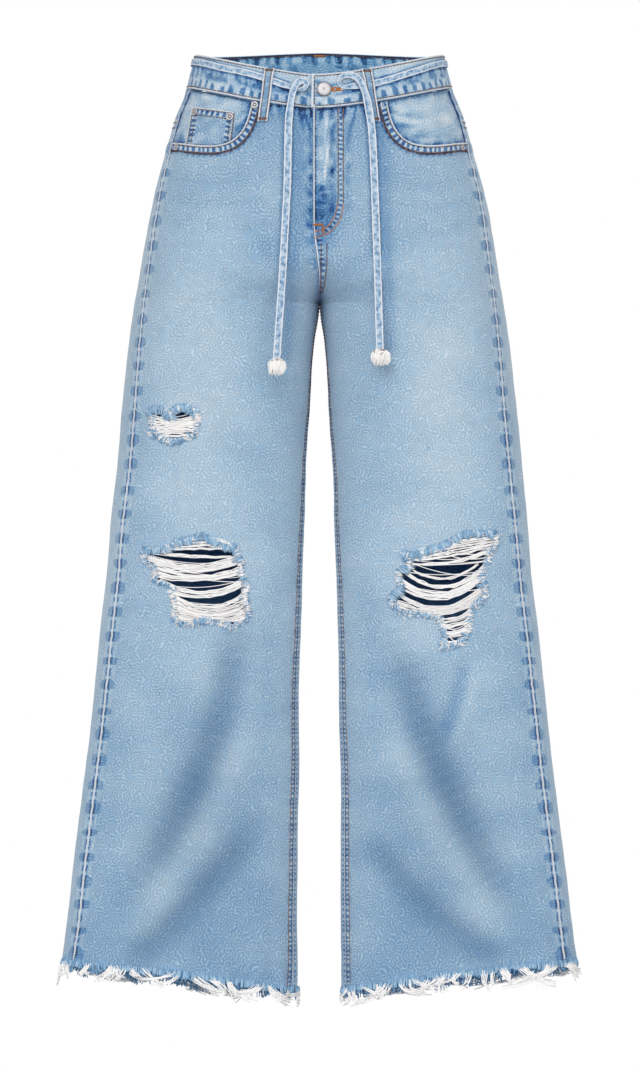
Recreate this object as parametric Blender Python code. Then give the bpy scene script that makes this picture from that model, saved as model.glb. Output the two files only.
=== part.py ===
"""Wide-leg ripped jeans with a drawstring, standing open as when they are worn.

Each piece that a maker would cut and sew is one closed solid: cloth walls follow one smooth body
form, which the tables below describe. Axes: +Z up, the front faces -Y, +X is the wearer's left.
The origin is the middle of the waistband ring. Sizes are in millimetres until MM turns them to metres.
"""
import math

import bmesh
import bpy
import numpy as np

MM = 0.001
GAP = 0.3                  # clearance between neighbouring pieces

# Thickness of each cloth.
PANEL = 1.5
BAND = 3.0
LOOP = 2.0
FACING = 1.2
POCKET = 1.4
TAPE = 1.6
WEB = 0.8
WEB_MARGIN = 3.0           # how far a web's cloth runs past its outline before it is trimmed
FRINGE = 2.0

# The body form, from above the waist to below the hem.
FORM = (
    # height, outer side, half gap between legs, front depth, back depth
    (45.0, 138.5, 0.3, 80.5, 85.0),
    (20.0, 143.5, 0.3, 83.0, 88.0),
    (-14.0, 151.5, 0.3, 87.5, 95.5),
    (-50.0, 166.0, 0.3, 94.0, 107.0),
    (-97.0, 179.5, 0.3, 100.0, 118.0),
    (-143.0, 191.0, 0.3, 104.0, 125.0),
    (-189.0, 200.0, 0.3, 106.0, 127.0),
    (-235.0, 207.5, 0.3, 105.0, 121.0),
    (-263.0, 212.5, 0.5, 102.0, 114.0),
    (-303.0, 218.0, 5.6, 97.0, 105.0),
    (-373.0, 226.0, 10.4, 88.0, 95.0),
    (-430.0, 231.5, 13.8, 80.0, 86.0),
    (-545.0, 242.0, 18.4, 70.0, 73.0),
    (-660.0, 254.0, 21.9, 64.0, 66.0),
    (-775.0, 266.5, 23.6, 60.0, 62.0),
    (-890.0, 280.5, 24.6, 58.0, 60.0),
    (-1000.0, 293.5, 25.2, 57.0, 59.0),
    (-1080.0, 303.0, 25.6, 57.0, 59.0),
)
FULLNESS = 0.25            # how much fuller than an ellipse each section is
CROTCH = -263.0            # height of the fork
FRONT_RISE = 80.0          # height over which the front seam curves under to the fork
BACK_RISE = 135.0          # and the seat seam

# Where the long seams run: how far inside the silhouette they sit, on the front.
SEAMS = (
    # height, outseam inset, inseam inset
    (45.0, 3.0, 0.0),
    (-85.0, 5.8, 0.0),
    (-178.0, 8.7, 0.0),
    (-263.0, 12.0, 0.0),
    (-373.0, 16.0, 1.0),
    (-545.0, 15.0, 2.5),
    (-775.0, 14.6, 4.0),
    (-1080.0, 14.6, 5.5),
)

# Top edge of the waistband, which dips at the front and climbs at the back.
WAIST_SIDE = 24.0
WAIST_FRONT = -3.0
WAIST_BACK = 32.5
WAIST_POWER = 1.4
BAND_DEPTH = 39.0
WAIST_GAP = 0.5            # below the band, where the lap shifts its edge a little
BAND_PROUD = 0.8           # how far the waistband's face stands out of the form
LAP_EDGE = -8.4            # x of the lapped end of the waistband
LAP_UNDER = 24.0           # x at which the end below it stops
LAP_SINK = 338.0           # turn in degrees from which the under end sinks below the upper one
LAP_CLEAR = 1.0            # degrees before the upper end by which it has sunk

# Hem: outer side of the leg, inner side, and how much lower the back hangs.
HEM_OUTER = -1019.0
HEM_INNER = -1051.0
HEM_POWER = 1.6
HEM_BACK_DROP = 14.0
HEM_LEVEL = -930.0         # rows above this are level
FRINGE_REACH = 12.0

# Largest folds of the flare, on the front of each leg, as soft troughs along a bent line.
FOLDS = (
    # side, face, start x, z, bend x, z, end x, z, depth, half width
    (-1, "front", -71.0, -610.0, -116.0, -790.0, -222.0, -935.0, 9.0, 24.0),
    (-1, "front", -58.0, -850.0, -120.0, -945.0, -215.0, -1035.0, 9.0, 20.0),
    (1, "front", 72.0, -605.0, 128.0, -800.0, 226.0, -955.0, 9.0, 24.0),
    (1, "front", 52.0, -865.0, 118.0, -955.0, 234.0, -1020.0, 8.0, 19.0),
    (-1, "back", -165.0, -560.0, -120.0, -760.0, -92.0, -1020.0, 9.0, 26.0),
    (-1, "back", -190.0, -800.0, -205.0, -900.0, -232.0, -1030.0, 7.0, 20.0),
    (1, "back", 150.0, -600.0, 132.0, -800.0, 112.0, -1030.0, 9.0, 25.0),
    (1, "back", 84.0, -790.0, 70.0, -900.0, 62.0, -1030.0, 6.0, 18.0),
)
FOLD_FADE = 0.22           # share of a fold's length over which its ends fade out
FOLD_REST = 0.35           # share of its depth that a fold keeps at its lower end

# Front pocket mouth, from above the waist seam to past the outseam, as |x| and z.
MOUTH = ((76.0, -12.0), (77.0, -30.0), (79.5, -46.0), (85.0, -62.0), (92.5, -73.0), (102.0, -80.0),
         (114.0, -83.5), (128.0, -84.0), (146.0, -82.0), (164.0, -79.0), (200.0, -75.0))
MOUTH_CLOSE = (230.0, 40.0)    # |x| and z well outside the cloth, where the cutter's outline closes
FACING_EDGE = ((62.0, -76.0), (85.0, -90.0), (104.0, -98.0), (130.0, -99.0), (200.0, -92.0))
FACING_DEPTH = 2.3         # how far the facing's face lies inside the form

# Coin pocket on the right facing, as |x| and z of its top corners, and |x| of its sides at the mouth.
COIN_TOP = ((97.0, -46.0), (146.0, -38.0))
COIN_FOOT = (101.0, 153.0)
COIN_FACE = -FACING_DEPTH + 2.0 * GAP + POCKET

# The lapped fly: the front seam lies off the middle down to where it turns under.
FLY_LAP = 7.0
FLY_FADE = (-183.0, -140.0)

# Yoke seam across the back.
YOKE_SIDE = -52.0
YOKE_CENTRE = -86.0

# Back patch pocket, as |x| and z of its five corners.
POCKET_TOP = ((40.0, -104.0), (140.0, -84.0))
POCKET_SIDE = ((50.0, -212.0), (146.0, -196.0))
POCKET_POINT = (99.0, -236.0)
POCKET_LIFT = 1.2          # its back lies this far outside the form

# Belt loops: x at the top edge and at the lower end, face, how far below the top edge the tape runs.
LOOPS = (
    ("belt_loop_front_right", -56.0, -64.5, "front", 13.0),
    ("belt_loop_front_left", 53.5, 63.5, "front", 18.5),
    ("belt_loop_side_right", -116.0, -121.0, "back", 15.0),
    ("belt_loop_side_left", 116.0, 121.0, "back", 15.0),
    ("belt_loop_back", 0.0, 0.0, "back", 17.0),
)
LOOP_WIDTH = 11.5
LOOP_LENGTH = 63.0
LOOP_OVER = 7.0            # half of the stretch that stands off over the tape
LOOP_SETTLE = 4.0          # length in which it comes back down to the band
LOOP_STEP = 3.5            # and from the band's edge down to the panel

# Metal.
BUTTON_AT = (5.4, -21.0)
BUTTON_RADIUS = 8.5
BUTTON_HEIGHT = 3.2
RIVETS = (
    # name, x, z, how far outside the form its seat lies
    ("rivet_right_inner", -73.5, -38.5, 0.0),
    ("rivet_right_outer", -163.0, -84.0, 0.0),
    ("rivet_left_inner", 73.5, -38.5, 0.0),
    ("rivet_left_outer", 163.0, -84.0, 0.0),
    ("rivet_coin_inner", -102.0, -51.5, COIN_FACE),
    ("rivet_coin_outer", -142.5, -44.5, COIN_FACE),
)
RIVET_RADIUS = 3.9
RIVET_HEIGHT = 1.4

# Rips in the fronts: outline of the hole and the open slits between the threads, as x and z.
RIPS = (
    ("thigh_right", "front_right",
     ((-190.0, -385.0), (-174.0, -379.0), (-156.0, -381.0), (-139.0, -387.0), (-144.0, -402.0),
      (-137.0, -418.0), (-146.0, -430.0), (-168.0, -428.0), (-187.0, -423.0), (-181.0, -404.0)),
     ((-165.0, -392.0, 18.0, 4.0), (-158.0, -415.0, 16.0, 3.0))),
    ("knee_right", "front_right",
     ((-196.0, -541.0), (-165.0, -531.0), (-136.0, -526.0), (-98.0, -538.0), (-87.0, -566.0),
      (-84.0, -600.0), (-83.0, -626.0), (-122.0, -633.0), (-163.0, -628.0), (-166.0, -598.0),
      (-186.0, -586.0), (-196.0, -566.0)),
     ((-150.0, -548.0, 56.0, 9.0), (-119.0, -573.0, 50.0, 9.0), (-124.0, -596.0, 44.0, 7.0))),
    ("knee_left", "front_left",
     ((98.0, -548.0), (128.0, -536.0), (160.0, -524.0), (194.0, -520.0), (197.0, -536.0),
      (190.0, -552.0), (181.0, -570.0), (188.0, -590.0), (176.0, -614.0), (170.0, -648.0),
      (141.0, -650.0), (137.0, -628.0), (96.0, -620.0), (83.0, -604.0), (92.0, -584.0),
      (91.0, -566.0)),
     ((142.0, -566.0, 68.0, 13.0), (132.0, -592.0, 60.0, 9.0))),
)

# Drawstring: on the waist, as turn from centre front and drop below the top edge of the band.
WAIST_TAPE = (
    # degrees, drop
    (-11.0, 19.0), (-24.0, 13.0), (-50.0, 10.0), (-90.0, 9.0), (-130.0, 13.0), (-180.0, 17.0),
    (-230.0, 13.0), (-270.0, 10.0), (-310.0, 13.0), (-336.0, 18.5), (-348.5, 18.5),
)
TAPE_WIDTH = 8.0
END_WIDTH = 9.5
# From the waist each end turns back on itself and hangs: x, z and distance in front of the form.
RIGHT_END = (
    (-29.0, -21.0, 2.5), (-23.0, -21.2, 2.9), (-17.0, -19.6, 3.4), (-14.2, -15.5, 4.0), (-16.8, -11.3, 4.6),
    (-22.5, -11.6, 5.2), (-27.8, -17.5, 5.5), (-30.8, -27.0, 5.4), (-33.2, -41.0, 4.8), (-35.0, -62.0, 3.9),
    (-35.6, -92.0, 3.2), (-36.3, -130.0, 3.2), (-38.4, -170.0, 3.2), (-40.5, -210.0, 3.2), (-43.3, -255.0, 3.2),
    (-46.2, -295.0, 3.2), (-48.5, -328.0, 3.2),
)
LEFT_END = (
    (29.9, -18.4, 2.8), (25.0, -17.4, 3.4), (22.0, -12.0, 3.8), (27.0, -5.5, 5.2), (36.5, -4.5, 6.6),
    (46.0, -11.0, 7.6), (52.5, -26.0, 7.8), (57.0, -48.0, 7.4), (60.0, -72.0, 5.0), (62.0, -110.0, 3.4),
    (63.5, -150.0, 3.2), (65.0, -195.0, 3.2), (66.5, -240.0, 3.2), (67.8, -285.0, 3.2),
    (68.8, -317.0, 3.2),
)
TURN_ENDS = (-40.0, -26.0) # height at which each turn passes into its free end
TUFT = (19.0, 13.0, 15.0)  # size in x, y and z
PATH_STEPS = 80            # points along each end, of which the hanging stretch keeps one in three
HANGING_STRIDE = 3

CUT_REACH = (-200.0, 0.0)  # y from which and to which a cutter runs, through the front only
WAIST_GUESS = -40.0        # height from which edges that hang on the angle are settled
ROUNDS = 4                 # rounds in which they are
NUDGE = (0.4, 0.8)         # degrees and height over which the form's slope is taken
OUTSEAM_SHORT = 0.4        # degrees by which a pocket facing stops short of the outseam

COLUMNS = 11               # quads across a panel
WAIST_COLUMNS = 60         # quads round the waistband
TAPE_COLUMNS = 52          # quads along the drawstring's stretch round the waist
HIP_LEVEL = -110.0         # from here down all panels share their rows along the outseam
HIP_ROWS = 8
LEG_ROWS = 10              # rows from the fork to where the hem's slope begins
HEM_ROWS = 3

COLOURS = {
    "denim": ((0.34, 0.50, 0.66), 0.85, 0.0),
    "denim_dark": ((0.22, 0.36, 0.53), 0.85, 0.0),
    "tape": ((0.45, 0.60, 0.74), 0.85, 0.0),
    "threads": ((0.80, 0.78, 0.74), 0.90, 0.0),
    "steel": ((0.62, 0.62, 0.62), 0.30, 1.0),
}


# ---------------------------------------------------------------- the body form

def column(table, index, height):
    """Smooth curve through one column of a table whose first column is the height."""
    rows = np.array(sorted((row[0], row[index]) for row in table))
    knots = rows[:, 0]
    values = rows[:, 1]
    slopes = np.gradient(values, knots)
    z = np.clip(np.asarray(height, float), knots[0], knots[-1])
    i = np.clip(np.searchsorted(knots, z) - 1, 0, len(knots) - 2)
    span = knots[i + 1] - knots[i]
    t = (z - knots[i]) / span
    return ((1 + 2 * t) * (1 - t) ** 2 * values[i] + t * (1 - t) ** 2 * span * slopes[i]
            + t * t * (3 - 2 * t) * values[i + 1] - t * t * (1 - t) * span * slopes[i + 1])


def start_angle(z, rise):
    """Angle at which a panel leaves the middle plane: 90 degrees above the rise, 0 at the fork."""
    share = np.clip((np.asarray(z, float) - CROTCH) / rise, 0.0, 1.0)
    eased = 2.5 * share ** 1.5 - 1.5 * share ** 2.5
    return np.degrees(np.arccos(1.0 - eased))


def fold_depth(side, face, x, z):
    """How far the folds of one face pull the cloth in, at x and z."""
    total = np.zeros(np.broadcast(x, z).shape)
    for row in FOLDS:
        if row[0] != side or row[1] != face:
            continue
        (x0, z0, x1, z1, x2, z2), depth, half_width = row[2:8], row[8], row[9]
        nearest = np.full(total.shape, np.inf)
        strength = np.zeros(total.shape)
        for step in np.linspace(0.0, 1.0, 25):
            px = (1 - step) ** 2 * x0 + 2 * step * (1 - step) * x1 + step ** 2 * x2
            pz = (1 - step) ** 2 * z0 + 2 * step * (1 - step) * z1 + step ** 2 * z2
            distance = np.hypot(side * x - side * px, z - pz)
            closer = distance < nearest
            nearest = np.where(closer, distance, nearest)
            strength = np.where(closer, min(1.0, step / FOLD_FADE, (1.0 - step) / FOLD_FADE + FOLD_REST),
                                strength)
        total += depth * strength * np.exp(-(nearest / half_width) ** 2)
    return total


def form(side, angle, z):
    """Point of the outer face. Angle 0 is the inner side of the leg, 90 the front, 180 the outside."""
    angle = np.mod(np.asarray(angle, float), 360.0)
    z = np.asarray(z, float)
    back = angle > 180.0
    turn = np.radians(np.where(back, 360.0 - angle, angle))
    start = np.cos(np.radians(np.where(back, start_angle(z, BACK_RISE), start_angle(z, FRONT_RISE))))
    inner = column(FORM, 2, z)
    outer = column(FORM, 1, z)
    x = inner + (outer - inner) * (start - np.cos(turn)) / (start + 1.0)
    depth = np.where(back, column(FORM, 4, z), column(FORM, 3, z))
    reach = np.sin(turn) * (1.0 + FULLNESS * np.cos(turn) ** 2)
    folds = np.where(back, fold_depth(side, "back", side * x, z), fold_depth(side, "front", side * x, z))
    y = (depth - folds) * reach
    return np.stack([side * x, np.where(back, y, -y), z + 0.0 * x], axis=-1)


def outward(side, angle, z):
    """Unit normal of the form."""
    angle = np.asarray(angle, float)
    z = np.asarray(z, float)
    along = form(side, angle + NUDGE[0], z) - form(side, angle - NUDGE[0], z)
    up = form(side, angle, z + NUDGE[1]) - form(side, angle, z - NUDGE[1])
    normal = side * np.cross(along, up)
    return normal / np.linalg.norm(normal, axis=-1, keepdims=True)


def on_form(side, angle, z, offset):
    """Point a given distance outside (or, negative, inside) the form."""
    return form(side, angle, z) + outward(side, angle, z) * np.asarray(offset)[..., None]


def angle_at(x, z, face="front"):
    """Angle of the form at a distance x from the middle, seen from the front or the back."""
    x = np.abs(np.asarray(x, float))
    rise = FRONT_RISE if face == "front" else BACK_RISE
    start = np.cos(np.radians(start_angle(z, rise)))
    inner = column(FORM, 2, z)
    outer = column(FORM, 1, z)
    cosine = np.clip(start - (x - inner) * (start + 1.0) / (outer - inner), -1.0, 1.0)
    turn = np.degrees(np.arccos(cosine))
    return turn if face == "front" else 360.0 - turn


def outseam(z):
    """Angle of the side seam."""
    return angle_at(column(FORM, 1, z) - column(SEAMS, 1, z), z)


def inseam(z):
    """Angle of the inner leg seam, or of the front middle seam above the fork."""
    return np.maximum(start_angle(z, FRONT_RISE), angle_at(column(FORM, 2, z) + column(SEAMS, 2, z), z))


def waist_top(angle):
    """Height of the waistband's top edge at an angle."""
    across = np.abs(np.cos(np.radians(angle))) ** WAIST_POWER
    middle = np.where(np.mod(angle, 360.0) < 180.0, WAIST_FRONT, WAIST_BACK)
    return middle + (WAIST_SIDE - middle) * across


def hem(angle):
    """Height of the raw hem at an angle."""
    turn = np.radians(angle)
    inward = ((1.0 + np.cos(turn)) / 2.0) ** HEM_POWER
    return HEM_OUTER + (HEM_INNER - HEM_OUTER) * inward - HEM_BACK_DROP * np.clip(-np.sin(turn), 0.0, 1.0)


# ---------------------------------------------------------------- making solids

def finish(name):
    """Principled material from the colour table."""
    material = bpy.data.materials.get(name)
    if material is None:
        colour, roughness, metallic = COLOURS[name]
        material = bpy.data.materials.new(name)
        material.use_nodes = True
        shader = material.node_tree.nodes["Principled BSDF"]
        shader.inputs["Base Color"].default_value = (*colour, 1.0)
        shader.inputs["Roughness"].default_value = roughness
        shader.inputs["Metallic"].default_value = metallic
    return material


def add_object(name, points, faces, colour):
    """Mesh object from points in millimetres, its faces turned outwards."""
    mesh = bpy.data.meshes.new(name)
    mesh.from_pydata([tuple(p) for p in np.asarray(points, float) * MM], [], faces)
    bm = bmesh.new()
    bm.from_mesh(mesh)
    bmesh.ops.recalc_face_normals(bm, faces=bm.faces)
    if bm.calc_volume(signed=True) < 0.0:
        bmesh.ops.reverse_faces(bm, faces=bm.faces)
    bm.to_mesh(mesh)
    bm.free()
    piece = bpy.data.objects.new(name, mesh)
    piece.data.materials.append(finish(colour))
    bpy.context.scene.collection.objects.link(piece)
    return piece


def wall(name, outer, inner, colour, ring=False):
    """Closed wall between two matching grids of points; a ring also joins its last column to its first."""
    rows, columns = outer.shape[:2]
    points = np.concatenate([outer.reshape(-1, 3), inner.reshape(-1, 3)])
    back = rows * columns
    last = columns if ring else columns - 1
    faces = []
    for i in range(rows - 1):
        for j in range(last):
            a, b = i * columns + j, i * columns + (j + 1) % columns
            c, d = b + columns, a + columns
            faces.append((a, b, c, d))
            faces.append((back + d, back + c, back + b, back + a))
    for j in range(last):
        for i in (0, rows - 1):
            a, b = i * columns + j, i * columns + (j + 1) % columns
            faces.append((a, b, back + b, back + a))
    if not ring:
        for i in range(rows - 1):
            for j in (0, columns - 1):
                a, d = i * columns + j, (i + 1) * columns + j
                faces.append((a, d, back + d, back + a))
    return add_object(name, points, faces, colour)


def cloth(name, side, angle, z, top, thickness, colour, ring=False):
    """Wall on the form whose outer face is `top` outside it; angle and z are matching grids."""
    outer = on_form(side, angle, z, np.full(angle.shape, top))
    inner = on_form(side, angle, z, np.full(angle.shape, top - thickness))
    return wall(name, outer, inner, colour, ring)


def keep_apart(angle, side, z):
    """Draw the two side edges of a grid in by half a gap, along the cloth."""
    step = np.linalg.norm(form(side, angle[:, 1], z[:, 1]) - form(side, angle[:, 0], z[:, 0]), axis=-1)
    angle[:, 0] += (angle[:, 1] - angle[:, 0]) * 0.5 * GAP / step
    step = np.linalg.norm(form(side, angle[:, -1], z[:, -1]) - form(side, angle[:, -2], z[:, -2]), axis=-1)
    angle[:, -1] -= (angle[:, -1] - angle[:, -2]) * 0.5 * GAP / step
    return angle


def prism(name, outline, near, far):
    """Cutter: an outline in x and z pushed through from y = near to y = far."""
    count = len(outline)
    points = [(x, y, z) for y in (near, far) for x, z in outline]
    faces = [tuple(range(count)), tuple(range(2 * count - 1, count - 1, -1))]
    faces += [(i, (i + 1) % count, count + (i + 1) % count, count + i) for i in range(count)]
    cutter = add_object(name, points, faces, "denim")
    cutter.display_type = "WIRE"
    cutter.hide_render = True
    return cutter


def cut(piece, cutter, operation="DIFFERENCE"):
    """Cut a piece with a prism and take the prism away."""
    modifier = piece.modifiers.new(cutter.name, "BOOLEAN")
    modifier.object = cutter
    modifier.operation = operation
    with bpy.context.temp_override(object=piece):
        bpy.context.view_layer.update()
        result = bpy.data.meshes.new_from_object(piece.evaluated_get(bpy.context.evaluated_depsgraph_get()))
    piece.modifiers.clear()
    piece.data = result
    bpy.data.objects.remove(cutter)


# ---------------------------------------------------------------- grids of the long panels

def front_edge(side, z):
    """Angle of a front's inner edge: inner leg seam, then the seam of the lapped fly."""
    share = np.clip((z - FLY_FADE[0]) / (FLY_FADE[1] - FLY_FADE[0]), 0.0, 1.0)
    lap = np.degrees(FLY_LAP * share * share * (3.0 - 2.0 * share) / column(FORM, 1, z))
    return inseam(z) - side * lap


def back_edge(z):
    """Angle of a back's inner edge: the seat seam, then the inner leg seam, past a full turn."""
    return 360.0 + np.where(z > CROTCH, -start_angle(z, BACK_RISE), inseam(z))


def panel_angle(side, face, z, share):
    """Angle at a share of the way across a panel, from its inner edge to the outseam."""
    edge = front_edge(side, z) if face == "front" else back_edge(z)
    return edge + (outseam(z) - edge) * share


def panel_heights(face, top, share):
    """Heights down a panel at each share across it, below its top edge."""
    rise = FRONT_RISE if face == "front" else BACK_RISE
    rows = [top, (top + HIP_LEVEL) / 2.0]
    for outer in np.linspace(HIP_LEVEL, CROTCH, HIP_ROWS + 1):
        inner = CROTCH + rise * min(1.0, (outer - CROTCH) / rise) ** 2 + max(0.0, outer - CROTCH - rise)
        rows.append(outer + (inner - outer) * (1.0 - share) ** 2)
    rows += [np.full(share.shape, z) for z in np.linspace(CROTCH, HEM_LEVEL, LEG_ROWS + 1)[1:]]
    return rows


def panel_grid(side, face, top_at):
    """Angles and heights of a long panel; top_at gives its top edge's height from the angle."""
    share = np.linspace(0.0, 1.0, COLUMNS + 1)
    top = np.full(share.shape, WAIST_GUESS)
    for _ in range(ROUNDS):
        top = top_at(panel_angle(side, face, top, share))
    heights = panel_heights(face, top, share)
    for step in np.linspace(0.0, 1.0, HEM_ROWS + 1)[1:]:
        foot = hem(panel_angle(side, face, np.full(share.shape, HEM_INNER), share))
        heights.append(HEM_LEVEL + (foot - HEM_LEVEL) * step)
    z = np.array(heights)
    return panel_angle(side, face, z, share[None, :]), z


def waist_seam(angle):
    """Height of the cloth just under the waistband."""
    return waist_top(angle) - BAND_DEPTH - WAIST_GAP


def yoke_seam(angle):
    """Height of the seam below the yoke."""
    across = np.abs(np.cos(np.radians(angle))) ** WAIST_POWER
    return YOKE_CENTRE + (YOKE_SIDE - YOKE_CENTRE) * across


# ---------------------------------------------------------------- the sewn pieces

def hand(side):
    """Wearer's side of a piece."""
    return "left" if side > 0 else "right"


def fronts():
    """Front legs with their pocket mouths and rips."""
    for side in (-1, 1):
        name = "front_" + hand(side)
        angle, z = panel_grid(side, "front", waist_seam)
        piece = cloth(name, side, keep_apart(angle, side, z), z, 0.0, PANEL, "denim")
        mouth = [(side * x, height) for x, height in MOUTH]
        mouth += [(side * MOUTH_CLOSE[0], MOUTH[-1][1]), (side * MOUTH_CLOSE[0], MOUTH_CLOSE[1]),
                  (side * MOUTH[0][0], MOUTH_CLOSE[1])]
        cut(piece, prism("mouth", mouth, *CUT_REACH))
        for rip, panel, outline, _ in RIPS:
            if panel == name:
                cut(piece, prism(rip, outline, *CUT_REACH))


def backs():
    """Back legs and the yokes above them."""
    for side in (-1, 1):
        angle, z = panel_grid(side, "back", lambda turn: yoke_seam(turn) - GAP / 2.0)
        cloth("back_" + hand(side), side, keep_apart(angle, side, z), z, 0.0, PANEL, "denim")
        share = np.linspace(0.0, 1.0, COLUMNS + 1)
        rows = []
        for step in (0.0, 0.25, 0.6, 1.0):
            height = np.full(share.shape, WAIST_GUESS)
            for _ in range(ROUNDS):
                turn = panel_angle(side, "back", height, share)
                height = waist_seam(turn) + (yoke_seam(turn) + GAP / 2.0 - waist_seam(turn)) * step
            rows.append(height)
        z = np.array(rows)
        angle = panel_angle(side, "back", z, share[None, :])
        cloth("yoke_" + hand(side), side, keep_apart(angle, side, z), z, 0.0, PANEL, "denim")


def round_waist(turn, z, offset):
    """Point at a turn in degrees from centre front towards the wearer's left, off the form."""
    turn = np.mod(turn, 360.0)
    left = on_form(1, 90.0 + turn, z, offset)
    right = on_form(-1, 450.0 - turn, z, offset)
    return np.where((turn <= 180.0)[..., None], left, right)


def waist_angle(turn):
    """Angle of the form at a turn round the waist."""
    turn = np.mod(turn, 360.0)
    return 90.0 + np.where(turn <= 180.0, turn, 360.0 - turn)


def turn_at(x, z, face="front"):
    """Turn round the waist at a signed x, at a height."""
    turn = abs(float(angle_at(x, z, face)) - 90.0)
    return -turn if x < 0.0 else turn


def waistband():
    """One strip once round and lapped, its under end drawn in behind the upper one."""
    start = turn_at(LAP_EDGE, WAIST_FRONT)
    end = 360.0 + turn_at(LAP_UNDER, WAIST_FRONT)
    turn = np.linspace(start, end, WAIST_COLUMNS + 1)
    sink = np.clip((turn - LAP_SINK) / (start + 360.0 - LAP_CLEAR - LAP_SINK), 0.0, 1.0)
    sunk = (BAND + GAP) * sink * sink * (3.0 - 2.0 * sink)
    rows = []
    for offset in (BAND_PROUD, BAND_PROUD - BAND):
        drops = [waist_top(waist_angle(turn)) - BAND_DEPTH * share for share in (0.0, 0.5, 1.0)]
        rows.append(np.array([round_waist(turn, z, offset - sunk) for z in drops]))
    wall("waistband", rows[0], rows[1], "denim")


def belt_loops():
    """Strips sewn down above and below the drawstring, which runs behind them."""
    over_band = BAND_PROUD + GAP
    over_tape = over_band + TAPE + 3.0 * GAP
    for name, x_top, x_foot, face, tape in LOOPS:
        path = ((1.0, over_band), (tape - LOOP_OVER, over_tape), (tape + LOOP_OVER, over_tape),
                (tape + LOOP_OVER + LOOP_SETTLE, over_band), (BAND_DEPTH, over_band),
                (BAND_DEPTH + LOOP_STEP, 2.0 * GAP), (LOOP_LENGTH, 2.0 * GAP))
        outer = []
        inner = []
        for drop, offset in path:
            x = x_top + (x_foot - x_top) * drop / LOOP_LENGTH
            z = float(waist_top(angle_at(x, 0.0, face))) - drop
            middle = turn_at(x, z, face)
            spread = np.degrees(LOOP_WIDTH / 2.0 / column(FORM, 1, z))
            turns = middle + spread * np.array([-1.0, 0.0, 1.0])
            outer.append(round_waist(turns, np.full(3, z), np.full(3, offset + LOOP)))
            inner.append(round_waist(turns, np.full(3, z), np.full(3, offset)))
        wall(name, np.array(outer), np.array(inner), "denim_dark")


def pocket_facings():
    """Cloth that shows inside the front pocket mouths."""
    for side in (-1, 1):
        share = np.linspace(0.0, 1.0, 13)
        rows = []
        for step in np.linspace(0.0, 1.0, 4):
            z = np.full(share.shape, WAIST_GUESS)
            for _ in range(ROUNDS):
                first = angle_at(FACING_EDGE[0][0], z)
                angle = first + (outseam(z) - OUTSEAM_SHORT - first) * share
                x = np.abs(form(side, angle, z)[:, 0])
                foot = np.interp(x, [p[0] for p in FACING_EDGE], [p[1] for p in FACING_EDGE])
                z = waist_seam(angle) + (foot - waist_seam(angle)) * step
            rows.append((angle, z))
        angle = np.array([row[0] for row in rows])
        z = np.array([row[1] for row in rows])
        cloth("pocket_facing_" + hand(side), side, angle, z, -FACING_DEPTH, FACING, "denim_dark")


def coin_pocket():
    """Small pocket on the right facing, down to the mouth's edge."""
    mouth_x = [p[0] for p in MOUTH]
    mouth_z = [p[1] for p in MOUTH]
    share = np.linspace(0.0, 1.0, 7)
    rows = []
    for step in np.linspace(0.0, 1.0, 4):
        top = COIN_TOP[0][0] + (COIN_TOP[1][0] - COIN_TOP[0][0]) * share
        foot = COIN_FOOT[0] + (COIN_FOOT[1] - COIN_FOOT[0]) * share
        x = top + (foot - top) * step
        top_z = COIN_TOP[0][1] + (COIN_TOP[1][1] - COIN_TOP[0][1]) * share
        z = top_z + (np.interp(foot, mouth_x, mouth_z) + 3.0 * GAP - top_z) * step
        rows.append((angle_at(x, z), z))
    angle = np.array([row[0] for row in rows])
    z = np.array([row[1] for row in rows])
    cloth("coin_pocket", -1, angle, z, COIN_FACE, POCKET, "denim")


def back_pockets():
    """Five-sided patch pockets below the yoke."""
    share = np.linspace(0.0, 1.0, 13)
    top_x, top_z = (np.interp(share, (0.0, 1.0), pair) for pair in zip(*POCKET_TOP))
    side_x = np.interp(share, (0.0, 1.0), (POCKET_SIDE[0][0], POCKET_SIDE[1][0]))
    foot_z = np.interp(share, (0.0, 0.5, 1.0), (POCKET_SIDE[0][1], POCKET_POINT[1], POCKET_SIDE[1][1]))
    for side in (-1, 1):
        x = np.array([top_x + (side_x - top_x) * step for step in np.linspace(0.0, 1.0, 6)])
        z = np.array([top_z + (foot_z - top_z) * step for step in np.linspace(0.0, 1.0, 6)])
        angle = angle_at(x, z, "back")
        cloth("back_pocket_" + hand(side), side, angle, z, POCKET_LIFT + POCKET, POCKET, "denim")


def hem_fringes():
    """Plain ring of each frayed hem's reach."""
    share = np.linspace(0.0, 1.0, COLUMNS + 1)
    foot = np.full(share.shape, HEM_INNER)
    for side in (-1, 1):
        front = panel_angle(side, "front", foot, share)[:-1]
        back = panel_angle(side, "back", foot, share)[::-1][:-1]
        angle = np.concatenate([front, back])
        top = hem(angle) - GAP
        rows = np.array([top, top - FRINGE_REACH])
        cloth("hem_fringe_" + hand(side), side, np.array([angle, angle]), rows, GAP, FRINGE, "threads",
              ring=True)


# ---------------------------------------------------------------- rips

def inset(outline, distance):
    """Outline moved inwards by a distance."""
    area = sum(a[0] * b[1] - b[0] * a[1] for a, b in zip(outline, outline[1:] + outline[:1]))
    turn = 1.0 if area > 0.0 else -1.0
    moved = []
    for i, (x, z) in enumerate(outline):
        before = np.array((x, z)) - outline[i - 1]
        after = np.array(outline[(i + 1) % len(outline)]) - (x, z)
        normals = [turn * np.array((-d[1], d[0])) / np.hypot(*d) for d in (before, after)]
        middle = (normals[0] + normals[1]) / 2.0
        moved.append(tuple(np.array((x, z)) + middle * distance / (middle @ middle)))
    return moved


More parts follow.
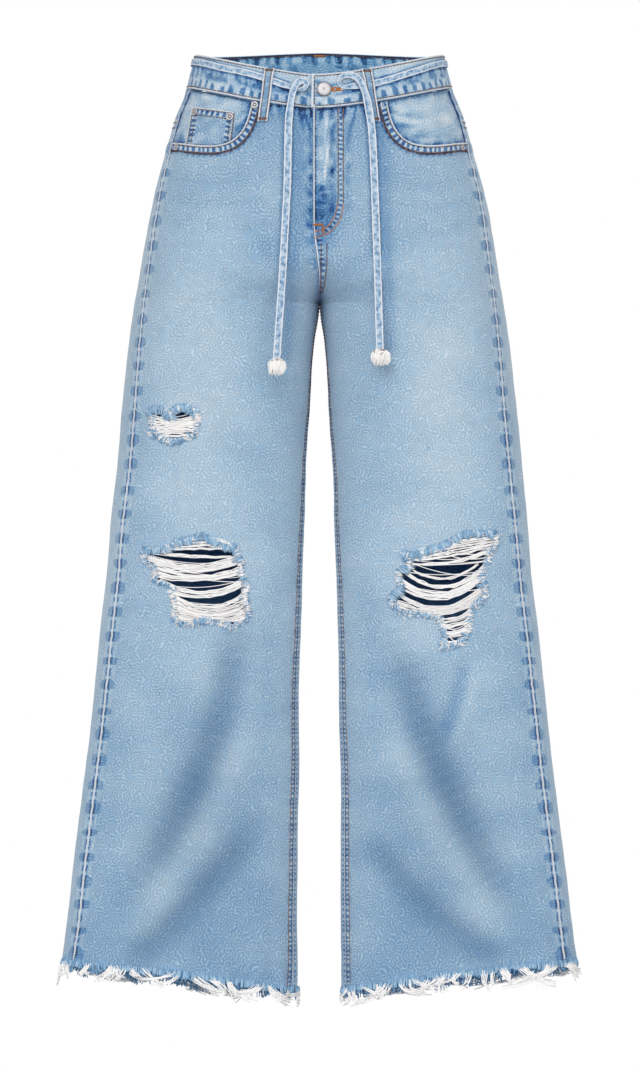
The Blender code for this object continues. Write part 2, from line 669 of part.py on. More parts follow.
def slit(x, z, width, height):
    """Lens-shaped outline, sagging like the threads on both sides of it."""
    points = []
    for step in np.linspace(0.0, 1.0, 6)[:-1]:
        points.append((x + width * (step - 0.5), z + height * math.sin(math.pi * step) * 0.25))
    for step in np.linspace(1.0, 0.0, 6)[:-1]:
        points.append((x + width * (step - 0.5), z - height * math.sin(math.pi * step) * 0.75))
    return points


def rip_threads():
    """The bare weft threads left across each rip, as a thin web with the open slits cut out."""
    for rip, panel, outline, slits in RIPS:
        side = -1 if panel.endswith("right") else 1
        edge = inset(list(outline), 1.5 * GAP)
        width = [x for x, _ in edge]
        height = [z for _, z in edge]
        x = np.linspace(min(width) - WEB_MARGIN, max(width) + WEB_MARGIN, 7)
        z = np.linspace(max(height) + WEB_MARGIN, min(height) - WEB_MARGIN, 6)
        x, z = np.meshgrid(x, z)
        piece = cloth("rip_threads_" + rip, side, angle_at(x, z), z, -GAP, WEB, "threads")
        cut(piece, prism(rip, edge, *CUT_REACH), "INTERSECT")
        for number, row in enumerate(slits):
            cut(piece, prism(f"slit_{number}", slit(*row), *CUT_REACH))


# ---------------------------------------------------------------- drawstring

def smooth_path(points, count):
    """Evenly spaced points on a smooth curve through the given ones."""
    points = np.array(points, float)
    ends = np.concatenate([[2 * points[0] - points[1]], points, [2 * points[-1] - points[-2]]])
    dense = []
    for i in range(len(points) - 1):
        a, b, c, d = ends[i:i + 4]
        for t in np.linspace(0.0, 1.0, 12, endpoint=False):
            dense.append(0.5 * (2 * b + (c - a) * t + (2 * a - 5 * b + 4 * c - d) * t * t
                                + (3 * b - a - 3 * c + d) * t ** 3))
    dense = np.array(dense + [points[-1]])
    length = np.concatenate([[0.0], np.cumsum(np.linalg.norm(np.diff(dense, axis=0), axis=1))])
    at = np.linspace(0.0, length[-1], count)
    return np.stack([np.interp(at, length, dense[:, k]) for k in range(3)], axis=1)


def free_end(points):
    """Route of a free end: over the belly, then straight down from its fullest point."""
    route = []
    nearest = 0.0
    for x, z, clear in points:
        surface = form(math.copysign(1, x), angle_at(x, z), z)
        nearest = min(nearest, float(surface[1]) - clear)
        route.append((x, nearest, z))
    return route


def ribbon(path, width):
    """Front and back corners of a flat tape along a path, its broad side to the front."""
    along = np.gradient(path, axis=0)
    along /= np.linalg.norm(along, axis=1, keepdims=True)
    face = np.array((0.0, -1.0, 0.0)) - along * (along @ np.array((0.0, -1.0, 0.0)))[:, None]
    face /= np.linalg.norm(face, axis=1, keepdims=True)
    across = np.cross(along, face)
    edges = [path + across * width * k for k in (-0.5, 0.5)]
    front = np.stack([edge + face * TAPE / 2.0 for edge in edges], axis=1)
    back = np.stack([edge - face * TAPE / 2.0 for edge in edges], axis=1)
    return front, back


def tuft(name, top):
    """Rounded solid of the frayed knot below a tape's end."""
    profile = [(0.0, 0.0), (0.55, -0.04), (0.8, -0.2), (1.0, -0.5), (0.85, -0.8), (0.5, -0.97), (0.0, -1.0)]
    sides = 10
    points = [top]
    for radius, height in profile[1:-1]:
        for k in range(sides):
            turn = 2.0 * math.pi * k / sides
            points.append((top[0] + TUFT[0] / 2.0 * radius * math.cos(turn),
                           top[1] + TUFT[1] / 2.0 * radius * math.sin(turn), top[2] + TUFT[2] * height))
    points.append((top[0], top[1], top[2] - TUFT[2]))
    faces = []
    rings = len(profile) - 2
    for k in range(sides):
        after = (k + 1) % sides
        faces.append((0, 1 + k, 1 + after))
        for ring in range(rings - 1):
            a = 1 + ring * sides
            faces.append((a + k, a + sides + k, a + sides + after, a + after))
        a = 1 + (rings - 1) * sides
        faces.append((a + k, len(points) - 1, a + after))
    add_object(name, points, faces, "threads")


def drawstring():
    """The stretch in the loops, the two free ends and their tufts."""
    turn = np.linspace(WAIST_TAPE[0][0], WAIST_TAPE[-1][0], TAPE_COLUMNS + 1)
    middle = waist_top(waist_angle(turn)) - column(WAIST_TAPE, 1, turn)
    grids = []
    for offset in (BAND_PROUD + 2.0 * GAP + TAPE, BAND_PROUD + 2.0 * GAP):
        heights = (middle + TAPE_WIDTH / 2.0, middle - TAPE_WIDTH / 2.0)
        grids.append(np.array([round_waist(turn, z, np.full(turn.shape, offset)) for z in heights]))
    wall("drawstring_waist", grids[0], grids[1], "tape")
    for side, points, height in zip((-1, 1), (RIGHT_END, LEFT_END), TURN_ENDS):
        path = smooth_path(free_end(points), PATH_STEPS)
        split = next(i for i in range(PATH_STEPS // 10, PATH_STEPS) if path[i, 2] < height)
        front, back = ribbon(path, TAPE_WIDTH)
        wall("drawstring_turn_" + hand(side), front[:split + 1], back[:split + 1], "tape")
        front, back = ribbon(path, END_WIDTH)
        step = path[split + 1] - path[split]
        for corners in (front, back):
            corners[split] += step / np.linalg.norm(step) * GAP
        rows = list(range(split, PATH_STEPS - 1, HANGING_STRIDE)) + [PATH_STEPS - 1]
        wall("drawstring_end_" + hand(side), front[rows], back[rows], "tape")
        tuft("drawstring_tuft_" + hand(side), tuple(path[-1] - (0.0, 0.0, GAP)))


# ---------------------------------------------------------------- metal

def turned(name, profile, side, x, z, offset, sides, colour):
    """Turned piece standing on the form: profile rows are radius and height above its seat."""
    angle = angle_at(x, z)
    base = on_form(side, angle, np.array(z), np.array(offset))
    axis = outward(side, angle, np.array(z))
    first = np.cross(axis, (0.0, 0.0, 1.0))
    first /= np.linalg.norm(first)
    second = np.cross(axis, first)
    points = [base]
    for radius, height in profile:
        for k in range(sides):
            turn = 2.0 * math.pi * k / sides
            points.append(base + radius * (first * math.cos(turn) + second * math.sin(turn)) + axis * height)
    points.append(base + axis * profile[-1][1])
    faces = []
    for k in range(sides):
        after = (k + 1) % sides
        faces.append((0, 1 + k, 1 + after))
        for ring in range(len(profile) - 1):
            a = 1 + ring * sides
            faces.append((a + k, a + sides + k, a + sides + after, a + after))
        a = 1 + (len(profile) - 1) * sides
        faces.append((a + k, len(points) - 1, a + after))
    add_object(name, points, faces, colour)


def metal():
    """Shank button on the lapped waistband, and the rivets."""
    button = ((2.5, 0.0), (2.5, 0.8), (BUTTON_RADIUS - 1.0, 0.8), (BUTTON_RADIUS, 1.8),
              (BUTTON_RADIUS - 0.8, BUTTON_HEIGHT), (BUTTON_RADIUS - 2.6, BUTTON_HEIGHT - 0.5),
              (1.6, BUTTON_HEIGHT - 0.6))
    turned("button", button, 1, BUTTON_AT[0], BUTTON_AT[1], BAND_PROUD + GAP, 16, "steel")
    rivet = ((RIVET_RADIUS, 0.0), (RIVET_RADIUS - 0.3, 0.7), (1.6, RIVET_HEIGHT))
    for name, x, z, seat in RIVETS:
        turned(name, rivet, math.copysign(1, x), x, z, seat + GAP, 12, "steel")


def main():
    for old in list(bpy.data.objects):
        bpy.data.objects.remove(old)
    fronts()
    backs()
    waistband()
    belt_loops()
    pocket_facings()
    coin_pocket()
    back_pockets()
    hem_fringes()
    rip_threads()
    drawstring()
    metal()


main()
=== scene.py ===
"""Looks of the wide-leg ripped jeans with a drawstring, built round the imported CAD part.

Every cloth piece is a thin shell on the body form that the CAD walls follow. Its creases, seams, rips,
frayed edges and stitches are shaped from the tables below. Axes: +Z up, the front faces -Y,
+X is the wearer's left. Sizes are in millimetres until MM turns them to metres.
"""

import math

import bpy
import numpy as np
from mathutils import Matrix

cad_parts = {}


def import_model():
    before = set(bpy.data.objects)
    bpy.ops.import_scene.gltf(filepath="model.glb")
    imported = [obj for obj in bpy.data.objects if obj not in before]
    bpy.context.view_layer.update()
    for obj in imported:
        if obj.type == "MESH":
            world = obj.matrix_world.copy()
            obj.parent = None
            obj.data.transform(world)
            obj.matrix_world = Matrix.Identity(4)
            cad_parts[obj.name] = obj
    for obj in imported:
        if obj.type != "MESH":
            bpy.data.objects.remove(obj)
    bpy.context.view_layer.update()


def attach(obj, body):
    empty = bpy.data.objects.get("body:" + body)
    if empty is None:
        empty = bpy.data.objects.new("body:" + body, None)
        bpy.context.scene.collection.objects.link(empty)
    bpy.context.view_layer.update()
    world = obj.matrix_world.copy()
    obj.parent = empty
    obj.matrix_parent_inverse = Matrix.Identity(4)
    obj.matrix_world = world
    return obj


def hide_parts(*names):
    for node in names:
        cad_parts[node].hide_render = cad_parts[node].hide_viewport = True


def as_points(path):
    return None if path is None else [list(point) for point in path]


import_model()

MM = 0.001
GAP = 0.3

# Thickness of each cloth.
PANEL = 1.3
BAND = 2.8
LOOP = 1.8
FACING = 1.0
POCKET = 1.3
TAPE = 1.3

# ---------------------------------------------------------------- the form, as in the CAD

# The numbers are the CAD's. Only the lines of the folds lie a little beside the CAD's, closer to the photo.

FORM = (
    # height, outer side, half gap between legs, front depth, back depth
    (45, 138.5, 0.3, 80.5, 85),
    (20, 143.5, 0.3, 83, 88),
    (-14, 151.5, 0.3, 87.5, 95.5),
    (-50, 166, 0.3, 94, 107),
    (-97, 179.5, 0.3, 100, 118),
    (-143, 191, 0.3, 104, 125),
    (-189, 200, 0.3, 106, 127),
    (-235, 207.5, 0.3, 105, 121),
    (-263, 212.5, 0.5, 102, 114),
    (-303, 218, 5.6, 97, 105),
    (-373, 226, 10.4, 88, 95),
    (-430, 231.5, 13.8, 80, 86),
    (-545, 242, 18.4, 70, 73),
    (-660, 254, 21.9, 64, 66),
    (-775, 266.5, 23.6, 60, 62),
    (-890, 280.5, 24.6, 58, 60),
    (-1000, 293.5, 25.2, 57, 59),
    (-1080, 303, 25.6, 57, 59),
)
OUTER, INNER, DEPTH = 1, 2, {"front": 3, "back": 4}      # columns of FORM
FULLNESS = 0.25
CROTCH = -263.0
RISE = {"front": 80.0, "back": 135.0}
SEAMS = (
    # height, outseam inset, inseam inset
    (45, 3, 0),
    (-85, 5.8, 0),
    (-178, 8.7, 0),
    (-263, 12, 0),
    (-373, 16, 1),
    (-545, 15, 2.5),
    (-775, 14.6, 4),
    (-1080, 14.6, 5.5),
)
WAIST_SIDE = 24.0
WAIST_FRONT = -3.0
WAIST_BACK = 32.5
WAIST_POWER = 1.4
BAND_DEPTH = 39.0
WAIST_GAP = 0.5
BAND_PROUD = 0.8
LAP_EDGE = -8.4
LAP_UNDER = 24.0
LAP_SINK = 338.0
LAP_CLEAR = 1.0
HEM_OUTER = -1019.0
HEM_INNER = -1051.0
HEM_POWER = 1.6
HEM_BACK_DROP = 14.0
HEM_LEVEL = -930.0
HIP_LEVEL = -110.0
FOLDS = (
    # side, face, start x, z, bend x, z, end x, z, depth, half width
    (-1, "front", -88, -600, -105, -792, -214, -935, 9, 21),
    (-1, "front", -56, -840, -155, -975, -220, -1022, 9, 18),
    (1, "front", 76, -630, 128, -802, 218, -952, 9, 21),
    (1, "front", 46, -866, 121, -972, 214, -1018, 8, 17),
    (-1, "back", -165, -560, -120, -760, -92, -1020, 9, 26),
    (-1, "back", -190, -800, -205, -900, -232, -1030, 7, 20),
    (1, "back", 150, -600, 132, -800, 112, -1030, 9, 25),
    (1, "back", 84, -790, 70, -900, 62, -1030, 6, 18),
)
FOLD_FADE = 0.22
FOLD_REST = 0.35
MOUTH = ((76, -12), (77, -30), (79.5, -46), (85, -62), (92.5, -73), (102, -80),
         (114, -83.5), (128, -84), (146, -82), (164, -79), (200, -75))
MOUTH_CLOSE = (230, 40)
FACING_EDGE = ((62, -76), (85, -90), (104, -98), (130, -99), (200, -92))
FACING_DEPTH = 2.3
COIN_TOP = ((97, -46), (146, -38))
COIN_FOOT = (101, 153)
COIN_FACE = -FACING_DEPTH + 2.0 * GAP + POCKET
FLY_LAP = 7.0
FLY_FADE = (-262, -165)    # heights over which the lap runs out towards the fork
FLY_OPEN = (-183, -160)    # below this the fly is sewn shut
YOKE_SIDE = -52.0
YOKE_CENTRE = -86.0
POCKET_TOP = ((40, -104), (140, -84))
POCKET_SIDE = ((50, -212), (146, -196))
POCKET_POINT = (99, -236)
POCKET_LIFT = 1.2
LOOPS = (
    ("belt_loop_front_right", -56, -64.5, "front", 13),
    ("belt_loop_front_left", 53.5, 63.5, "front", 18.5),
    ("belt_loop_side_right", -116, -121, "back", 15),
    ("belt_loop_side_left", 116, 121, "back", 15),
    ("belt_loop_back", 0, 0, "back", 17),
)
LOOP_WIDTH = 11.5
LOOP_LENGTH = 63.0
LOOP_OVER = 7.0
LOOP_SETTLE = 4.0
LOOP_STEP = 3.5
BUTTON_AT = (5.4, -21)
BUTTON_RADIUS = 8.5
RIVETS = (
    # name, x, z, how far outside the form its seat lies
    ("rivet_right_inner", -73.5, -38.5, 0),
    ("rivet_right_outer", -163, -84, 0),
    ("rivet_left_inner", 73.5, -38.5, 0),
    ("rivet_left_outer", 163, -84, 0),
    ("rivet_coin_inner", -102, -51.5, COIN_FACE),
    ("rivet_coin_outer", -142.5, -44.5, COIN_FACE),
)
WAIST_TAPE = (
    # degrees from centre front, drop below the band's top edge
    (-11, 19), (-24, 13), (-50, 10), (-90, 9), (-130, 13), (-180, 17),
    (-230, 13), (-270, 10), (-310, 13), (-336, 18.5), (-348.5, 18.5),
)
TAPE_WIDTH = 8.0
END_WIDTH = 9.5
RIGHT_END = (
    (-29, -21, 2.5), (-23, -21.2, 2.9), (-17, -19.6, 3.4), (-14.2, -15.5, 4), (-16.8, -11.3, 4.6),
    (-22.5, -11.6, 5.2), (-27.8, -17.5, 5.5), (-30.8, -27, 5.4), (-33.2, -41, 4.8), (-35, -62, 3.9),
    (-35.6, -92, 3.2), (-36.3, -130, 3.2), (-38.4, -170, 3.2), (-40.5, -210, 3.2), (-43.3, -255, 3.2),
    (-46.2, -295, 3.2), (-48.5, -328, 3.2),
)
LEFT_END = (
    (29.9, -18.4, 2.8), (25, -17.4, 3.4), (22, -12, 3.8), (27, -5.5, 5.2), (36.5, -4.5, 6.6),
    (46, -11, 7.6), (52.5, -26, 7.8), (57, -48, 7.4), (60, -72, 5), (62, -110, 3.4),
    (63.5, -150, 3.2), (65, -195, 3.2), (66.5, -240, 3.2), (67.8, -285, 3.2),
    (68.8, -317, 3.2),
)
TURN_ENDS = (-40, -26)
TUFT = (19, 13, 15)
PATH_STEPS = 80
CAD_TAPE = 1.6             # thickness of the CAD tape, which the detailed one stays inside
WAIST_GUESS = -40.0
ROUNDS = 4
NUDGE = (0.4, 0.8)
OUTSEAM_SHORT = 0.4

# ---------------------------------------------------------------- finer shape, only in the looks

# Smaller creases: ridges are positive, troughs negative.
CREASES = (
    # side, face, start x, z, bend x, z, end x, z, height, half width
    (1, "front", 168, -664, 160, -712, 140, -762, -4, 9),
    (1, "front", 180, -680, 170, -725, 152, -775, 1.6, 9),
    (-1, "front", -164, -440, -167, -470, -165, -500, -0.9, 4),
    (-1, "front", -128, -650, -132, -680, -128, -715, 1.4, 16),
    (-1, "front", -178, -118, -120, -135, -64, -126, -0.9, 6),
    (-1, "front", -182, -140, -120, -158, -62, -150, -1, 7),
    (-1, "front", -176, -166, -120, -184, -70, -178, -0.8, 8),
    (1, "front", 176, -120, 125, -138, 72, -130, -0.9, 6),
    (1, "front", 184, -146, 130, -164, 78, -152, -1, 7),
    (1, "front", 178, -172, 130, -192, 84, -186, -0.8, 8),
    (-1, "front", -4, -250, -34, -212, -80, -190, -1.2, 11),
    (-1, "front", -6, -262, -46, -246, -96, -240, -0.9, 10),
    (1, "front", 4, -250, 36, -214, 84, -196, -1.1, 11),
    (1, "front", 6, -262, 44, -250, 92, -238, -0.9, 10),
    (-1, "front", -60, -700, -120, -850, -200, -960, 3.5, 22),
    (1, "front", 64, -700, 122, -860, 208, -968, 3.5, 22),
    (-1, "front", -40, -560, -56, -640, -64, -760, -1.6, 16),
    (1, "front", 44, -560, 58, -640, 70, -760, -1.6, 16),
    (-1, "back", -60, -255, -110, -268, -172, -258, -3, 11),
    (1, "back", 54, -262, 110, -276, 176, -262, -3.2, 12),
    (-1, "back", -50, -282, -100, -300, -150, -300, -2.2, 10),
    (1, "back", 60, -292, 108, -308, 160, -300, -2, 10),
    (-1, "back", -70, -520, -130, -536, -190, -520, -2.6, 12),
    (1, "back", 66, -534, 128, -548, 196, -530, -2.4, 13),
    (-1, "back", -80, -560, -140, -578, -180, -566, -1.8, 10),
    (1, "back", 84, -572, 134, -586, 184, -580, -1.8, 10),
)

# Rips: outline of each hole, then its bundles of bare weft threads. A bundle is given by its left end,
# a point on the way and its right end, each as x and the heights of its upper and lower thread.
RIPS = (
    ("thigh_right", -1,
     ((-193, -388), (-186, -384), (-177.5, -385), (-175, -392), (-168, -394),
      (-165, -386), (-158, -381.5), (-150, -383), (-146, -387), (-138.5, -389),
      (-139, -396), (-140, -405), (-143, -414), (-152, -417), (-159, -419.5),
      (-168, -422), (-176, -421), (-182, -415), (-193, -413.5), (-188, -407.5),
      (-190, -400), (-189, -393)),
     ((-168, -387, -393, -157, -381, -387, -139, -386, -392),
      (-192, -388, -394, -168, -394.5, -397, -139, -389, -393),
      (-190, -393, -403, -166, -397.5, -402.5, -139, -391, -400),
      (-190, -403, -407, -163, -402, -404.5, -139, -399, -401),
      (-192, -407, -413.5, -166, -405, -411, -140, -401.5, -411),
      (-184, -414, -418, -163, -412, -420, -143, -412, -417))),
    ("knee_right", -1,
     ((-198, -545.5), (-189, -545), (-178, -545.5), (-170, -543), (-162, -536.5),
      (-150, -533.5), (-142, -531), (-134.5, -528.5), (-127, -533.5), (-115, -537.5),
      (-104, -542), (-96, -541), (-94, -551), (-89, -559), (-90.5, -571),
      (-85.5, -582), (-84, -592), (-87, -599), (-83.5, -609), (-81.5, -619),
      (-87, -625), (-95, -629), (-101, -633), (-109, -630), (-118, -626.5),
      (-134.5, -625.5), (-143, -628.5), (-156, -628.5), (-164.5, -624.5), (-165.5, -617),
      (-163, -609), (-165.5, -600), (-168.5, -589), (-172.5, -582.5), (-185, -581.5),
      (-187, -572), (-187, -564), (-193, -561), (-199.5, -555)),
     ((-176, -543, -545.5, -134, -529, -545, -97, -541, -545),
      (-178, -546.5, -549, -140, -550.5, -553.5, -104, -551, -554),
      (-198, -546, -561, -137, -561.5, -570, -92, -549, -559),
      (-187, -561, -575, -130, -573, -579, -89, -561.5, -571),
      (-178, -575, -589, -124, -590.5, -599, -86, -574, -584),
      (-167, -590, -601, -117, -607, -616, -84, -589, -601),
      (-165, -602, -611, -118, -617, -622, -84, -602, -612),
      (-165, -611, -625, -122, -621.5, -627, -83, -612, -624))),
    ("knee_left", 1,
     ((96, -548.5), (103, -551), (112, -550.5), (120, -547), (129, -544),
      (138, -541), (148, -536.5), (156, -532), (168, -527), (180, -526),
      (190, -526.5), (199, -525), (200.5, -534), (198.5, -542), (193, -547),
      (192, -556), (189, -563), (183.5, -568), (184, -577), (189, -588),
      (188, -599), (178, -606), (172, -612), (171.5, -624), (169, -638),
      (163, -650), (151, -655), (140.5, -656), (140.5, -650), (146, -642),
      (142, -636), (139, -627), (138, -622), (120, -619.5), (111, -616),
      (98, -617), (91, -612), (83, -606), (82, -599), (92, -590.5),
      (95, -585), (91, -578), (91, -569.5), (101.5, -565), (103, -556)),
     ((104, -549, -557, 163, -531, -549, 197, -526, -541),
      (103.5, -558.5, -560.5, 139, -559.5, -561.5, 195, -542, -545.5),
      (110, -566.5, -568, 138, -576.5, -578.5, 178, -558, -561),
      (102, -568.5, -573, 134, -585, -588.5, 191, -554, -562),
      (91.5, -571, -586, 129, -593, -601, 186, -565, -576),
      (93, -590.5, -596, 127, -609, -613, 186, -580, -588),
      (83, -597, -614, 133, -612.5, -620, 187, -588, -600),
      (140, -622, -634, 154, -622, -634, 172, -610, -625),
      (143, -636, -643, 156, -637, -644, 170, -626, -637),
      (141, -645, -654, 152, -649, -654, 166, -640, -648))),
)


# Resolution of the cloth, in quads.
FRONT_COLUMNS = 92
BACK_COLUMNS = 56
FRONT_ROWS = (22, 48, 205, 34)      # above the hips, hips, legs, hem
BACK_ROWS = (10, 32, 130, 20)

STITCH = 3.2                        # length of a stitch
STITCH_GAP = 0.7
STITCH_RADIUS = 0.6
TACK_RADIUS = 0.36


# ---------------------------------------------------------------- small sums

def smooth(value, low, high):
    """0 below low, 1 above high, smooth between."""
    share = np.clip((np.asarray(value, float) - low) / (high - low), 0.0, 1.0)
    return share * share * (3.0 - 2.0 * share)


def window(value, low, full, past, end):
    """0 before low, 1 between full and past, 0 again after end."""
    return smooth(value, low, full) * smooth(value, end, past)


def bell(value, middle, width):
    """1 at the middle, and 0.37 a width away from it."""
    return np.exp(-((value - middle) / width) ** 2)


def between(first, second, share):
    """What lies at a share of the way from one to another."""
    return first + (second - first) * share


def unit(vectors):
    """Vectors brought to length 1."""
    return vectors / np.linalg.norm(vectors, axis=-1, keepdims=True)


def running(points, axis=1):
    """Length run along a grid of points, column by column or row by row."""
    start = points[:, :1] if axis else points[:1]
    return np.cumsum(np.linalg.norm(np.diff(points, axis=axis, prepend=start), axis=-1), axis=axis)


def lengths(points):
    """Length run along a polyline up to each point."""
    return np.concatenate([[0.0], np.cumsum(np.linalg.norm(np.diff(points, axis=0), axis=1))])


def evenly(points, count):
    """Points at even steps along a polyline."""
    length = lengths(points)
    at = np.linspace(0.0, length[-1], count)
    return np.stack([np.interp(at, length, points[:, k]) for k in range(points.shape[1])], axis=1)


def smooth_path(points, count):
    """Evenly spaced points on a smooth curve through the given ones."""
    points = np.array(points, float)
    ends = np.concatenate([[2 * points[0] - points[1]], points, [2 * points[-1] - points[-2]]])
    dense = []
    for i in range(len(points) - 1):
        a, b, c, d = ends[i:i + 4]
        for t in np.linspace(0.0, 1.0, 12, endpoint=False):
            dense.append(0.5 * (2 * b + (c - a) * t + (2 * a - 5 * b + 4 * c - d) * t * t
                                + (3 * b - a - 3 * c + d) * t ** 3))
    return evenly(np.array(dense + [points[-1]]), count)


def normals_of(line):
    """Directions along a flat polyline and square to it, to its left."""
    along = unit(np.gradient(line, axis=0))
    return along, np.stack([-along[:, 1], along[:, 0]], axis=1)


def wobble(x, y, size, seed):
    """Smooth unevenness between about -1 and 1, of a given size across."""
    rng = np.random.default_rng(seed)
    waves = 7
    result = 0.0
    for _ in range(waves):
        turn = rng.uniform(0.0, 2.0 * math.pi)
        rate = 2.0 * math.pi / size * rng.uniform(0.6, 1.5)
        result = result + np.sin(rate * (x * math.cos(turn) + y * math.sin(turn)) + rng.uniform(0.0, 6.3))
    return result / math.sqrt(waves) * 0.9


def ripple(at, spacing, uneven, size, seed):
    """Waves at an uneven spacing along a line."""
    return np.sin(2.0 * math.pi * at / spacing + uneven * wobble(at, 0.0 * at, size, seed))


def hand(side):
    """Wearer's side of a piece."""
    return "left" if side > 0 else "right"


# ---------------------------------------------------------------- the body form

def column(table, index, height):
    """Smooth curve through one column of a table whose first column is the height."""
    knots, values = np.array(sorted((row[0], row[index]) for row in table), float).T
    slopes = np.gradient(values, knots)
    z = np.clip(np.asarray(height, float), knots[0], knots[-1])
    i = np.clip(np.searchsorted(knots, z) - 1, 0, len(knots) - 2)
    span = knots[i + 1] - knots[i]
    t = (z - knots[i]) / span
    return ((1 + 2 * t) * (1 - t) ** 2 * values[i] + t * (1 - t) ** 2 * span * slopes[i]
            + t * t * (3 - 2 * t) * values[i + 1] - t * t * (1 - t) * span * slopes[i + 1])


def start_angle(z, rise):
    """Angle at which a panel leaves the middle plane: 90 degrees above the rise, 0 at the fork."""
    return np.degrees(np.arccos(1.0 - smooth(z, CROTCH, CROTCH + rise)))


def start_cosine(z, face):
    """Cosine of that angle, on the front or the back."""
    return np.cos(np.radians(start_angle(z, RISE[face])))


def bent(first, middle, last, share):
    """Place at a share of the way along a bent line."""
    return (1 - share) ** 2 * first + 2 * share * (1 - share) * middle + share ** 2 * last


def bent_lines(table, side, face, x, z):
    """Sum of the heights that a table of bent lines gives at x and z."""
    height = np.zeros(np.broadcast(x, z).shape)
    for x0, z0, x1, z1, x2, z2, depth, half_width in (row[2:] for row in table if row[:2] == (side, face)):
        nearest = np.full(height.shape, np.inf)
        strength = np.zeros(height.shape)
        for step in np.linspace(0.0, 1.0, 25):
            distance = np.hypot(side * x - side * bent(x0, x1, x2, step), z - bent(z0, z1, z2, step))
            closer = distance < nearest
            nearest = np.where(closer, distance, nearest)
            fade = min(1.0, step / FOLD_FADE, (1.0 - step) / FOLD_FADE + FOLD_REST)
            strength = np.where(closer, fade, strength)
        height += depth * strength * bell(nearest, 0.0, half_width)
    return height


def form(side, angle, z):
    """Point of the outer face. Angle 0 is the inner side of the leg, 90 the front, 180 the outside."""
    angle = np.mod(np.asarray(angle, float), 360.0)
    z = np.asarray(z, float)
    back = angle > 180.0
    turn = np.radians(np.where(back, 360.0 - angle, angle))
    start = np.where(back, start_cosine(z, "back"), start_cosine(z, "front"))
    inner = column(FORM, INNER, z)
    x = inner + (column(FORM, OUTER, z) - inner) * (start - np.cos(turn)) / (start + 1.0)
    depth = np.where(back, column(FORM, DEPTH["back"], z), column(FORM, DEPTH["front"], z))
    reach = np.sin(turn) * (1.0 + FULLNESS * np.cos(turn) ** 2)
    folds = np.where(back, bent_lines(FOLDS, side, "back", side * x, z),
                     bent_lines(FOLDS, side, "front", side * x, z))
    y = (depth - folds) * reach
    return np.stack([side * x, np.where(back, y, -y), z + 0.0 * x], axis=-1)


def outward(side, angle, z):
    """Unit normal of the form."""
    angle = np.asarray(angle, float)
    z = np.asarray(z, float)
    along = form(side, angle + NUDGE[0], z) - form(side, angle - NUDGE[0], z)
    up = form(side, angle, z + NUDGE[1]) - form(side, angle, z - NUDGE[1])
    return unit(side * np.cross(along, up))


def on_form(side, angle, z, offset):
    """Point a given distance outside (or, negative, inside) the form."""
    return form(side, angle, z) + outward(side, angle, z) * np.asarray(offset)[..., None]


def lap_angle(x, z, face="front"):
    """Angle of the form at x on a left piece, past the middle as well."""
    start = start_cosine(z, face)
    outer, inner = column(FORM, OUTER, z), column(FORM, INNER, z)
    cosine = np.clip(start - (x - inner) * (start + 1.0) / (outer - inner), -1.0, 1.0)
    turn = np.degrees(np.arccos(cosine))
    return turn if face == "front" else 360.0 - turn


def angle_at(x, z, face="front"):
    """Angle of the form at a distance x from the middle, seen from the front or the back."""
    return lap_angle(np.abs(np.asarray(x, float)), z, face)


def outseam(z):
    """Angle of the side seam."""
    return angle_at(column(FORM, OUTER, z) - column(SEAMS, 1, z), z)


def inseam(z):
    """Angle of the inner leg seam, or of the front middle seam above the fork."""
    return np.maximum(start_angle(z, RISE["front"]), angle_at(column(FORM, INNER, z) + column(SEAMS, 2, z), z))


def sideways(angle):
    """0 at the middle of the front and back, 1 at the sides."""
    return np.abs(np.cos(np.radians(angle))) ** WAIST_POWER


def waist_top(angle):
    """Height of the waistband's top edge at an angle."""
    middle = np.where(np.mod(angle, 360.0) < 180.0, WAIST_FRONT, WAIST_BACK)
    return between(middle, WAIST_SIDE, sideways(angle))


def waist_seam(angle):
    """Height of the cloth just under the waistband."""
    return waist_top(angle) - BAND_DEPTH - WAIST_GAP


def yoke_seam(angle):
    """Height of the seam below the yoke."""
    return between(YOKE_CENTRE, YOKE_SIDE, sideways(angle))


def hem(angle):
    """Height of the raw hem at an angle."""
    turn = np.radians(angle)
    inward = ((1.0 + np.cos(turn)) / 2.0) ** HEM_POWER
    return between(HEM_OUTER, HEM_INNER, inward) - HEM_BACK_DROP * np.clip(-np.sin(turn), 0.0, 1.0)


def front_edge(side, z):
    """Angle of a front's inner edge: inner leg seam, then the seam of the lapped fly."""
    return inseam(z) - side * np.degrees(FLY_LAP * smooth(z, *FLY_FADE) / column(FORM, OUTER, z))


def back_edge(z):
    """Angle of a back's inner edge: the seat seam, then the inner leg seam, past a full turn."""
    return 360.0 + np.where(z > CROTCH, -start_angle(z, RISE["back"]), inseam(z))


def panel_angle(side, face, z, share):
    """Angle at a share of the way across a panel, from its inner edge to the outseam."""
    return between(front_edge(side, z) if face == "front" else back_edge(z), outseam(z), share)


def round_waist(turn, z, offset):
    """Point at a turn in degrees from centre front towards the wearer's left, off the form."""
    turn = np.mod(turn, 360.0)
    left = on_form(1, 90.0 + turn, z, offset)
    right = on_form(-1, 450.0 - turn, z, offset)
    return np.where((turn <= 180.0)[..., None], left, right)


def waist_angle(turn):
    """Angle of the form at a turn round the waist."""
    turn = np.mod(turn, 360.0)
    return 90.0 + np.where(turn <= 180.0, turn, 360.0 - turn)


def turn_at(x, z, face="front"):
    """Turn round the waist at a signed x, at a height."""
    turn = np.abs(angle_at(x, z, face) - 90.0)
    return np.where(np.asarray(x) < 0.0, -turn, turn)


# ---------------------------------------------------------------- outlines in x and z

